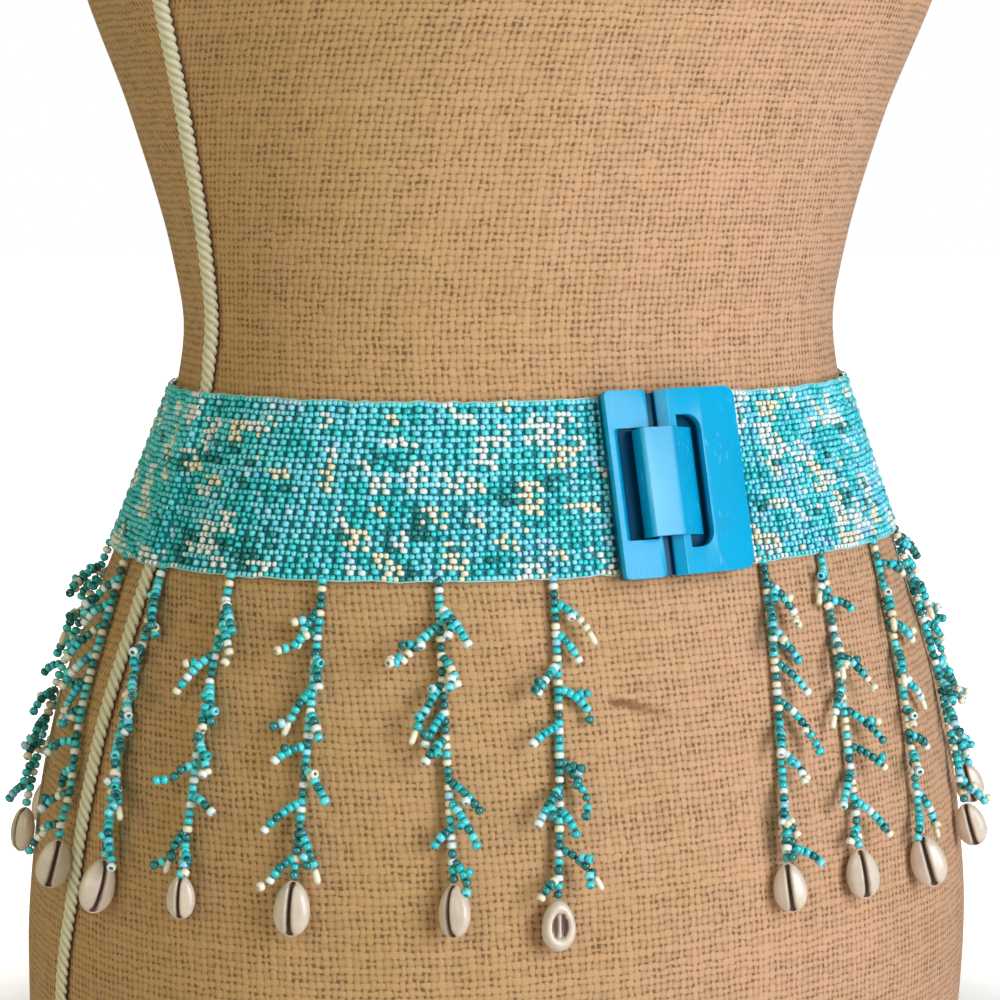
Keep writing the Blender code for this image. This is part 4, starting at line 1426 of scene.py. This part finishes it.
def edge_threads(nodes):
    """Pale threads along the top and bottom edges of the net."""
    points = []
    faces = []
    chance = random.Random(NET_SEED + 3)
    for row, side in ((0, 1.0), (CELLS_HIGH, -1.0)):
        line = []
        outs = []
        for upright in nodes:
            here, out = upright[row]
            up = (upright[0][0] - upright[CELLS_HIGH][0]).normalized()
            waver = chance.uniform(-EDGE_THREAD_WAVER, EDGE_THREAD_WAVER)
            lift = EDGE_THREAD_LIFT + chance.uniform(-EDGE_LIFT_WAVER, EDGE_LIFT_WAVER)
            reach = side * sizes().bead_width * CROSS_BEAD / 2 + waver
            line.append(here + up * reach + out * lift)
            outs.append(out)
        start = len(points)
        points += tube_points(line, outs, EDGE_THREAD, EDGE_THREAD_SIDES)
        faces += tube_faces(start, len(line), EDGE_THREAD_SIDES)
    item = mesh_piece("edge_threads", points, faces, [thread_material("edge thread", True)])
    outward_normals(item)
    return item


# Fringe
def strand_line(strand, start_angle):
    """Points and frames down the middle of a strand, a bead's step apart."""
    steps = round((strand.length + STEM_ROOT) / STEM_BEAD_STEP)
    return [surface_frame(*strand_place(strand, start_angle, n / steps)) for n in range(steps + 1)]


def chain(start, end, bow, step):
    """Points from start to end, bowed by a vector at mid-length, about a step apart."""
    count = max(round((end - start).length / step), 1)
    return [start.lerp(end, n / count) + bow * (4 * n / count * (1 - n / count)) for n in range(count + 1)]


def beads_on(line, out, chance, finishes):
    """One bead on each link of a line of points."""
    beads = []
    for link, (first, second) in enumerate(zip(line, line[1:])):
        length, width = bead_size(chance, sizes().fringe_bead)
        axis = (second - first).normalized()
        finish = finishes[min(link, len(finishes) - 1)] if finishes else fringe_finish(chance)
        beads.append(Bead((first + second) / 2, axis, out, length, width, finish, chance.random()))
    return beads


def fringe_finish(chance, pale_gain=1.0):
    return drawn_finish(chance, FRINGE_SHARES, pale_gain)


def tip_finish(chance):
    return chance.choice(PALE) if chance.random() < PALE_TIP else fringe_finish(chance)


def clear_of_form(point, least):
    """The point, moved straight out if it lies closer to the form than least."""
    angle = form_angle(point)
    surface, _, _, out = surface_frame(angle, point.z, BAND_GAP)
    deep = least - (point - surface).dot(out)
    return point + out * deep if deep > 0 else point


def form_angle(point):
    """The angle of the form's surface nearest to a point at its height."""
    side = "front" if point.y < 0 else "back"
    across = point.x / read_table(FORM_LEVELS, "half_width", point.z)
    along = point.y / read_table(FORM_LEVELS, side, point.z)
    power = SECTION_SQUARENESS / 2.0
    return math.degrees(math.atan2(signed_power(along, power), signed_power(across, power)))


def strand_beads(strand, start_angle):
    """Beads and threads of one strand: its stem, its side branches and the short twigs on them."""
    chance = random.Random(strand.seed * 7 + 1)
    frames = strand_line(strand, start_angle)
    stem = [point for point, _, _, _ in frames]
    outs = [out for _, _, _, out in frames]
    beads = []
    for n, (first, second) in enumerate(zip(stem, stem[1:])):
        pale = n % PALE_STEM_BEADS == 1 and chance.random() < PALE_STEM_CHANCE
        finish = chance.choice(PALE) if pale else fringe_finish(chance, STEM_PALE_GAIN)
        beads += beads_on([first, second], outs[n], chance, [finish])
    lines = [(stem, outs)]
    for branch in branch_list(strand, start_angle):
        angle, height, lift = strand_place(strand, start_angle, branch.place)
        root, _, down, out = surface_frame(angle, height, lift)
        end_angle = angle_moved(angle, height, branch.side * branch.reach)
        end = form_point(end_angle, height - branch.drop, lift + branch.rise)
        toward = (end - root).normalized()
        start = root + toward * (sizes().bead_width * BRANCH_START)
        line = chain(start, end, out * BRANCH_BOW_OUT - down * BRANCH_BOW_UP, BRANCH_BEAD_STEP)
        finishes = [fringe_finish(chance) for _ in line[2:]] + [tip_finish(chance)]
        beads += beads_on(line, out, chance, finishes)
        if chance.random() < LONG_TIP["share"]:
            length, width = LONG_TIP["length"], LONG_TIP["width"]
            way = ((line[-1] - line[-2]).normalized() + down * LONG_TIP["droop"]).normalized()
            middle = line[-1] + way * (length * LONG_TIP["set_in"])
            middle = clear_of_form(middle, width * LONG_TIP["clear"])
            beads.append(Bead(middle, way, out, length, width, PALE[1], chance.random()))
        lines.append(([root] + line, [out] * (len(line) + 1)))
        for n in range(1, len(line)):
            if chance.random() < TWIG_SHARE:
                more_beads, more_line = twig(line[n], toward, out, down, chance)
                beads += more_beads
                lines.append(more_line)
    return beads, lines


def twig(root, toward, out, down, chance):
    """One or two beads that part from a branch, the last of them often pale."""
    turn = math.radians(chance.choice((-1, 1)) * chance.uniform(*TWIG_TURN))
    way = (Matrix.Rotation(turn, 3, out) @ toward + out * chance.uniform(0.0, TWIG_OUT)).normalized()
    count = chance.choice(TWIG_COUNTS)
    start = root + way * (sizes().bead_width * TWIG_START)
    line = [start + way * (BRANCH_BEAD_STEP * n) + down * (TWIG_DROOP * n * n) for n in range(count + 1)]
    line = [clear_of_form(point, sizes().bead_width * TWIG_CLEAR) for point in line]
    finishes = [fringe_finish(chance) for _ in range(count - 1)] + [tip_finish(chance)]
    return beads_on(line, out, chance, finishes), ([root] + line, [out] * (len(line) + 1))


# Cowries
def ridge(x, at, width, z, low, high):
    """Share of a ridge or groove that runs lengthwise at one width and fades between two heights."""
    return math.exp(-(((x - at) / width) ** 2)) * (1.0 - smooth_step(abs(z), low, high))


def shell_point(x, y, z):
    """Depth of a shell at a point of a ball, how far inside it lies there and its share of the teeth."""
    if y >= 0:
        width = SLIT_WIDTH * (1.0 + SLIT_FLARE * smooth_step(abs(z), 0.70, 0.95))
        slit = ridge(x, 0.0, width, z, 0.90, 0.99)
        lip = ridge(abs(x), LIP_AT, LIP_WIDTH, z, 0.75, 0.98)
        teeth = ridge(abs(x), TEETH_AT, TEETH_WIDTH, z, 0.80, 0.95)
        return MOUTH_SIDE * y - SLIT_DEPTH * slit + LIP_RISE * lip, slit, teeth
    deep = max(BACK_SIDE * y, -BACK_CUT)
    away = math.hypot(x * BACK_NARROW, z)
    if away >= BACK_HOLE + BACK_RIM:
        return deep, 0.0, 0.0
    hole = 1.0 - smooth_step(away, BACK_HOLE - BACK_RIM, BACK_HOLE)
    column = (1.0 - smooth_step(abs(x), *COLUMN_HALF_WIDTH)) * (1.0 - smooth_step(abs(z), *COLUMN_HALF_HEIGHT))
    return deep + HOLE_DEPTH * hole * (1.0 - COLUMN_RISE * column), hole * (1.0 - COLUMN_CLEAN * column), 0.0


def cowrie_shell(name, strand, start_angle):
    """A shell hung by its narrow end below its strand, its mouth turned by the strand's turn."""
    start_piece()
    bpy.ops.mesh.primitive_uv_sphere_add(segments=COWRIE_COLUMNS, ring_count=COWRIE_ROWS, radius=1.0)
    item = bpy.context.object
    item.name = name
    item.data.name = name
    half_width, half_depth, half_length = (
        size / 2 * strand.shell for size in (COWRIE_WIDTH, COWRIE_DEPTH, COWRIE_LENGTH)
    )
    place, across, mouth, axis = cowrie_frame(strand, start_angle, half_width, half_depth, half_length)
    cavities = []
    teeth = []
    places = []
    for vertex in item.data.vertices:
        x, y, z = vertex.co
        ring = math.hypot(x, y)
        turn = math.atan2(-x, y)
        turn = math.copysign(math.pi * (abs(turn) / math.pi) ** MOUTH_CLUSTER, turn)
        x, y = -ring * math.sin(turn), ring * math.cos(turn)
        deep, cavity, tooth = shell_point(x, y, z)
        wide = half_width * (1.0 - COWRIE_TAPER * z)
        vertex.co = place + across * (x * wide) + mouth * (deep * half_depth) - axis * (z * half_length)
        cavities.append(cavity)
        teeth.append(tooth)
        places.append((x, z))
    while item.data.uv_layers:
        item.data.uv_layers.remove(item.data.uv_layers[0])
    set_uv(item, places)
    set_attribute(item, "cavity", cavities)
    set_attribute(item, "teeth", teeth)
    item.data.materials.append(shell_material())
    item.data.shade_smooth()
    outward_normals(item)
    return item


def cowrie_frame(strand, start_angle, half_width, half_depth, half_length):
    """Middle of a hanging shell, and its directions across, out of its mouth and down its length."""
    angle, height, lift = strand_place(strand, start_angle, 1.0)
    end, sideways, _, out = surface_frame(angle, height, lift)
    turn = math.radians(strand.turn)
    reach = math.hypot(1.1 * half_width * math.sin(turn), 1.15 * half_depth * math.cos(turn))
    low = height - 1.1 * half_length
    belly = form_point(angle, low, cover(angle, low) + BAND_GAP + reach)
    axis = (belly - end).normalized()
    mouth = out * math.cos(turn) + sideways * math.sin(turn)
    mouth = (mouth - axis * mouth.dot(axis)).normalized()
    return end + axis * (PART_GAP + half_length), mouth.cross(axis), mouth, axis


# Buckle
def block(name, left, right, half_height, low, high, corner=0.0, corners_right_of=-1.0):
    """A box in the buckle's own directions; its upright corners right of a line can be rounded."""
    start_piece()
    bpy.ops.mesh.primitive_cube_add(size=2.0)
    item = bpy.context.object
    item.name = name
    for vertex in item.data.vertices:
        x, y, z = vertex.co
        vertex.co = (right if x > 0 else left, math.copysign(half_height, y), high if z > 0 else low)
    if corner:
        points = item.data.vertices

        def upright(edge):
            one, other = (points[index].co for index in edge.vertices)
            return abs(one.z - other.z) > (high - low) / 2 and one.x > corners_right_of

        pick(item, "EDGE", upright)
        bpy.ops.mesh.bevel(offset=corner, segments=CORNER_SEGMENTS, profile=0.5, affect="EDGES")
        object_mode()
    return item


def with_modifier(item, kind, **settings):
    """Adds a modifier and applies it."""
    choose(item)
    modifier = item.modifiers.new(kind.lower(), kind)
    for name, value in settings.items():
        setattr(modifier, name, value)
    bpy.ops.object.modifier_apply(modifier=modifier.name)


def combined(item, other, operation):
    with_modifier(item, "BOOLEAN", operation=operation, object=other, solver="EXACT")
    bpy.data.objects.remove(other, do_unlink=True)


def rounded(item, width):
    with_modifier(
        item, "BEVEL", width=width, segments=EDGE_SEGMENTS, limit_method="ANGLE",
        angle_limit=math.radians(EDGE_ANGLE),
    )


def tongue():
    """The hook's tongue: its section drawn as a ring of points, filled and extruded up the plate."""
    start_piece()
    bpy.ops.mesh.primitive_circle_add(vertices=len(TONGUE_PROFILE), radius=1.0, fill_type="NGON")
    item = bpy.context.object
    item.name = "tongue"
    for vertex, (across, out) in zip(item.data.vertices, TONGUE_PROFILE):
        vertex.co = (across, -TONGUE_HALF_HEIGHT, out)
    edit_mode(item, "FACE")
    bpy.ops.mesh.select_all(action="SELECT")
    bpy.ops.mesh.extrude_region_move(TRANSFORM_OT_translate={"value": (0, 2 * TONGUE_HALF_HEIGHT, 0)})
    object_mode()
    outward_normals(item)
    return item


def rise_shown(point, thick):
    """Height of a point in its plate, which sets the painted shade; all of the slot's wall counts as deep and
    takes the full painted shade.
    """
    x, y, z = point
    margin = SLOT_WALL["margin"]
    across = SLOT["left"] - margin <= x <= SLOT["right"] + margin
    in_slot = across and abs(y) <= SLOT["half_height"] + margin
    return 0.0 if in_slot and z < thick - SLOT_WALL["below"] and thick == SLOT_PLATE["thick"] else z


def curved_onto_band(item, thick):
    """Cuts the plate across every few millimetres so that it can curve, and lays it on the band."""
    steps = int((BUCKLE_RIGHT - BUCKLE_LEFT) / CURVE_CUT_STEP)
    for n in range(1, steps + 1):
        edit_mode(item)
        bpy.ops.mesh.select_all(action="SELECT")
        cut = BUCKLE_LEFT + CURVE_CUT_STEP * n + CURVE_CUT_START
        bpy.ops.mesh.bisect(plane_co=(cut, 0, 0), plane_no=(1, 0, 0))
        object_mode()
    rises = [rise_shown(vertex.co, thick) for vertex in item.data.vertices]
    for vertex in item.data.vertices:
        vertex.co = buckle_point(*vertex.co)
    set_attribute(item, "rise", rises)
    item.data.materials.clear()
    item.data.materials.append(plastic_material())
    while item.data.uv_layers:
        item.data.uv_layers.remove(item.data.uv_layers[0])
    item.data.shade_smooth()
    item.data.set_sharp_from_angle(angle=math.radians(BUCKLE_SHARP_ANGLE))


def hook_plate():
    """Plate with a pocket, a flange and tab that reach under the other plate, and the tongue."""
    size = HOOK_PLATE
    plate = block(
        "buckle_hook", BUCKLE_LEFT, size["right"], BUCKLE_HALF_HEIGHT, 0.0, size["thick"], size["corner"]
    )
    flange = block(
        "flange", size["right"] - FLANGE["tuck"], FLANGE["right"], FLANGE["half_height"], FLANGE["back"],
        FLANGE["thick"],
    )
    combined(plate, flange, "UNION")
    tab = block(
        "tab", FLANGE["right"] - SLOT_TAB["tuck"], SLOT["right"] + SLOT_TAB["margin"],
        SLOT["half_height"] + SLOT_TAB["margin"], SLOT_TAB["back"], SLOT_TAB["thick"], SLOT["corner"], 0.0,
    )
    combined(plate, tab, "UNION")
    pocket = block(
        "pocket", POCKET["left"], POCKET["right"], POCKET["half_height"], POCKET["floor"], 3 * size["thick"],
        POCKET["corner"],
    )
    for vertex in pocket.data.vertices:
        if vertex.co.x < (POCKET["left"] + POCKET["right"]) / 2:
            vertex.co.x += POCKET["slope"] * (size["thick"] - vertex.co.z)
    combined(plate, pocket, "DIFFERENCE")
    combined(plate, tongue(), "UNION")
    rounded(plate, HOOK_ROUNDING)
    curved_onto_band(plate, size["thick"])
    return plate


def slot_plate():
    """Plate with a chamfered bar on its left, a D-shaped slot, and room under them for the other plate."""
    left = SLOT_PLATE["left"]
    high = SLOT_PLATE["thick"]
    tall = BUCKLE_HALF_HEIGHT - SLOT_PLATE["shorter"]
    plate = block("buckle_slot", left, BUCKLE_RIGHT, tall, 0.0, high, SLOT_PLATE["corner"], 0.0)
    points = plate.data.vertices

    def bar_edge(edge):
        return all(abs(points[i].co.x - left) < 1e-6 and points[i].co.z > high / 2 for i in edge.vertices)

    pick(plate, "EDGE", bar_edge)
    bpy.ops.mesh.bevel(offset=SLOT_PLATE["chamfer"], segments=1, affect="EDGES")
    object_mode()
    relief = block("relief", left - RELIEF["past"], RELIEF["right"], 2 * tall, -high, RELIEF["depth"])
    combined(plate, relief, "DIFFERENCE")
    room = SLOT_ROOM["margin"]
    under = block(
        "room", SLOT["left"], SLOT["right"] + room, SLOT["half_height"] + room, -high, SLOT_ROOM["depth"],
        SLOT["corner"], 0.0,
    )
    combined(plate, under, "DIFFERENCE")
    slot = block(
        "slot", SLOT["left"], SLOT["right"], SLOT["half_height"], -high, 2 * high, SLOT["corner"], 0.0
    )
    combined(plate, slot, "DIFFERENCE")
    rounded(plate, SLOT_ROUNDING)
    curved_onto_band(plate, high)
    return plate


# Stage
def around(azimuth, distance, height):
    turn = math.radians(azimuth)
    return Vector((distance * math.cos(turn), distance * math.sin(turn), height))


def soft_light(lamp, power):
    """A rectangular light turned to the belt."""
    data = bpy.data.lights.new(lamp.name, "AREA")
    data.shape = "RECTANGLE"
    data.size, data.size_y = lamp.size
    data.energy = power
    data.color = lamp.colour
    item = bpy.data.objects.new(lamp.name, data)
    bpy.context.scene.collection.objects.link(item)
    item.location = around(CAMERA_AZIMUTH + lamp.turn, lamp.distance, lamp.height)
    aim = Vector((0, 0, AIM_HEIGHT)) - item.location
    item.rotation_euler = aim.to_track_quat("-Z", "Y").to_euler()


def pale_floor(settings):
    """Wide round floor, shaded near the form and as bright as the surroundings farther off."""
    start_piece()
    bpy.ops.mesh.primitive_circle_add(vertices=96, radius=FLOOR_RADIUS, fill_type="NGON")
    floor = bpy.context.object
    floor.name = "studio_floor"
    floor.location.z = -FLOOR_BELOW
    bpy.ops.object.transform_apply(location=True)
    material, graph, shader = opened_material("studio floor", Roughness=0.9, Specular_IOR_Level=0.1)
    x, y, _ = graph.split(graph.place())
    away = graph.math("SQRT", graph.math("ADD", graph.math("MULTIPLY", x, x), graph.math("MULTIPLY", y, y)))
    grain = graph.noise(graph.place(), 40.0, 2.0)
    graph.put(shader["Base Color"], graph.mix(grain, full(settings.floor, 1.02), full(settings.floor, 0.98)))
    seen = graph.node("ShaderNodeLightPath").outputs["Is Camera Ray"]
    lightness = graph.between(away, FLOOR_SHADE["near"], FLOOR_SHADE["far"], FLOOR_SHADE["share"], 1.0)
    glow = graph.math("MULTIPLY", lightness, seen)
    graph.put(shader["Emission Color"], graph.mix(glow, (0, 0, 0, 1), (1, 1, 1, 1)))
    shader["Emission Strength"].default_value = 1.0
    # It glows for the camera alone, so it isn't counted among the lights
    material.cycles.emission_sampling = "NONE"
    floor.data.materials.append(material)


def surroundings(settings):
    """White to the camera, and a softer, even light on the object."""
    world = bpy.data.worlds.new("studio")
    world.use_nodes = True
    bpy.context.scene.world = world
    graph = Graph(world.node_tree)
    background = world.node_tree.nodes["Background"]
    seen = graph.node("ShaderNodeLightPath").outputs["Is Camera Ray"]
    strength = graph.math("MULTIPLY_ADD", seen, 1.0 - settings.surround, settings.surround)
    graph.put(background.inputs["Strength"], strength)
    graph.put(background.inputs["Color"], graph.mix(seen, full(settings.surround_tint), (1, 1, 1, 1)))


def photo_camera():
    """The camera at the photograph's place, level in its roll."""
    data = bpy.data.cameras.new("camera")
    data.lens = CAMERA_LENS
    data.sensor_width = 36.0
    data.shift_x = CAMERA_SHIFT
    data.clip_start = 0.01
    data.clip_end = 50.0
    item = bpy.data.objects.new("camera", data)
    bpy.context.scene.collection.objects.link(item)
    item.location = around(CAMERA_AZIMUTH, CAMERA_DISTANCE, CAMERA_HEIGHT)
    yaw = math.atan2(-item.location.y, -item.location.x) - math.pi / 2
    item.rotation_euler = (math.radians(90.0 - CAMERA_TILT), 0.0, yaw)
    bpy.context.scene.camera = item


# Operators
class BELT_OT_stage(bpy.types.Operator):
    """Pale floor, soft lights, white surroundings and the camera"""

    bl_idname = "belt.stage"
    bl_label = "Stage"

    def execute(self, context):
        settings = context.scene.stage_settings
        pale_floor(settings)
        surroundings(settings)
        for lamp in LAMPS:
            soft_light(lamp, getattr(settings, lamp.setting))
        photo_camera()
        context.scene.view_settings.view_transform = "Standard"
        return {"FINISHED"}


class BELT_OT_form_cover(bpy.types.Operator):
    """Burlap cover of the dress form"""

    bl_idname = "belt.form_cover"
    bl_label = "Form cover"

    def execute(self, context):
        item = form_cover()
        hand_in(item, "burlap", "dress_form")
        return {"FINISHED"}


class BELT_OT_piping(bpy.types.Operator):
    """Twisted cord on both side seams"""

    bl_idname = "belt.piping"
    bl_label = "Piping"

    def execute(self, context):
        for side, name in enumerate(("piping_right", "piping_left")):
            hand_in(piping_cord(f"{name}_cord", side), "piping_cord", name)
        return {"FINISHED"}


class BELT_OT_band(bpy.types.Operator):
    """Beaded net, its thread as a sheet that puts painted shade between the beads, and its edges"""

    bl_idname = "belt.band"
    bl_label = "Beaded band"

    def execute(self, context):
        nodes = net_nodes()
        web = net_web(nodes)
        hand_in(web, "glass_beads", "beaded_band")
        with_it = [edge_threads(nodes)]
        beads = band_beads(nodes)
        size = math.ceil(len(beads) / BAND_PIECES)
        for n in range(BAND_PIECES):
            with_it.append(bead_piece(f"band_beads_{n + 1}", beads[n * size:(n + 1) * size]))
        for item in with_it:
            hand_in(item, "glass_beads")
        return {"FINISHED"}


class BELT_OT_fringe(bpy.types.Operator):
    """Branched strands of beads, in six groups"""

    bl_idname = "belt.fringe"
    bl_label = "Fringe"

    def execute(self, context):
        angles = cell_angles()
        start = 0
        for group, size in enumerate(GROUP_SIZES):
            beads = []
            lines = []
            for strand in STRANDS[start:start + size]:
                more_beads, more_lines = strand_beads(strand, angles[strand.cell])
                beads += more_beads
                lines += more_lines
            hand_in(bead_piece(f"strands_{group + 1}", beads, lines), "glass_beads", f"fringe_{group + 1}")
            start += size
        return {"FINISHED"}


class BELT_OT_cowries(bpy.types.Operator):
    """A cowrie at the end of every strand"""

    bl_idname = "belt.cowries"
    bl_label = "Cowries"

    def execute(self, context):
        angles = cell_angles()
        for n, strand in enumerate(STRANDS):
            item = cowrie_shell(f"shell_{n + 1:02d}", strand, angles[strand.cell])
            hand_in(item, "cowrie_shell", f"cowrie_{n + 1:02d}")
        return {"FINISHED"}


class BELT_OT_buckle(bpy.types.Operator):
    """Both plates of the buckle, fastened"""

    bl_idname = "belt.buckle"
    bl_label = "Buckle"

    def execute(self, context):
        hand_in(hook_plate(), "blue_plastic", "hook_plate")
        hand_in(slot_plate(), "blue_plastic", "slot_plate")
        return {"FINISHED"}


OPERATORS = (
    BELT_OT_stage,
    BELT_OT_form_cover,
    BELT_OT_piping,
    BELT_OT_band,
    BELT_OT_fringe,
    BELT_OT_cowries,
    BELT_OT_buckle,
)


class BELT_PT_panel(bpy.types.Panel):
    """Pieces, sizes and colours of the belt"""

    bl_label = "Beaded belt"
    bl_idname = "BELT_PT_panel"
    bl_space_type = "VIEW_3D"
    bl_region_type = "UI"
    bl_category = "Beaded belt"

    def draw(self, context):
        for operator in OPERATORS:
            self.layout.operator(operator.bl_idname)
        for group in (context.scene.belt_sizes, context.scene.belt_colours, context.scene.stage_settings):
            box = self.layout.box()
            for name in group.bl_rna.properties.keys():
                if name not in ("rna_type", "name"):
                    box.prop(group, name)


GROUPS = {"belt_sizes": BeltSizes, "belt_colours": BeltColours, "stage_settings": StageSettings}


def register():
    for group in GROUPS.values():
        bpy.utils.register_class(group)
    for name, group in GROUPS.items():
        setattr(bpy.types.Scene, name, PointerProperty(type=group))
    for item in OPERATORS + (BELT_PT_panel,):
        bpy.utils.register_class(item)


def unregister():
    for item in reversed(OPERATORS + (BELT_PT_panel,)):
        bpy.utils.unregister_class(item)
    for name, group in GROUPS.items():
        delattr(bpy.types.Scene, name)
        bpy.utils.unregister_class(group)


def main():
    register()
    bpy.ops.belt.stage()
    bpy.ops.belt.form_cover()
    bpy.ops.belt.piping()
    bpy.ops.belt.band()
    bpy.ops.belt.fringe()
    bpy.ops.belt.cowries()
    bpy.ops.belt.buckle()


if __name__ == "__main__":
    main()
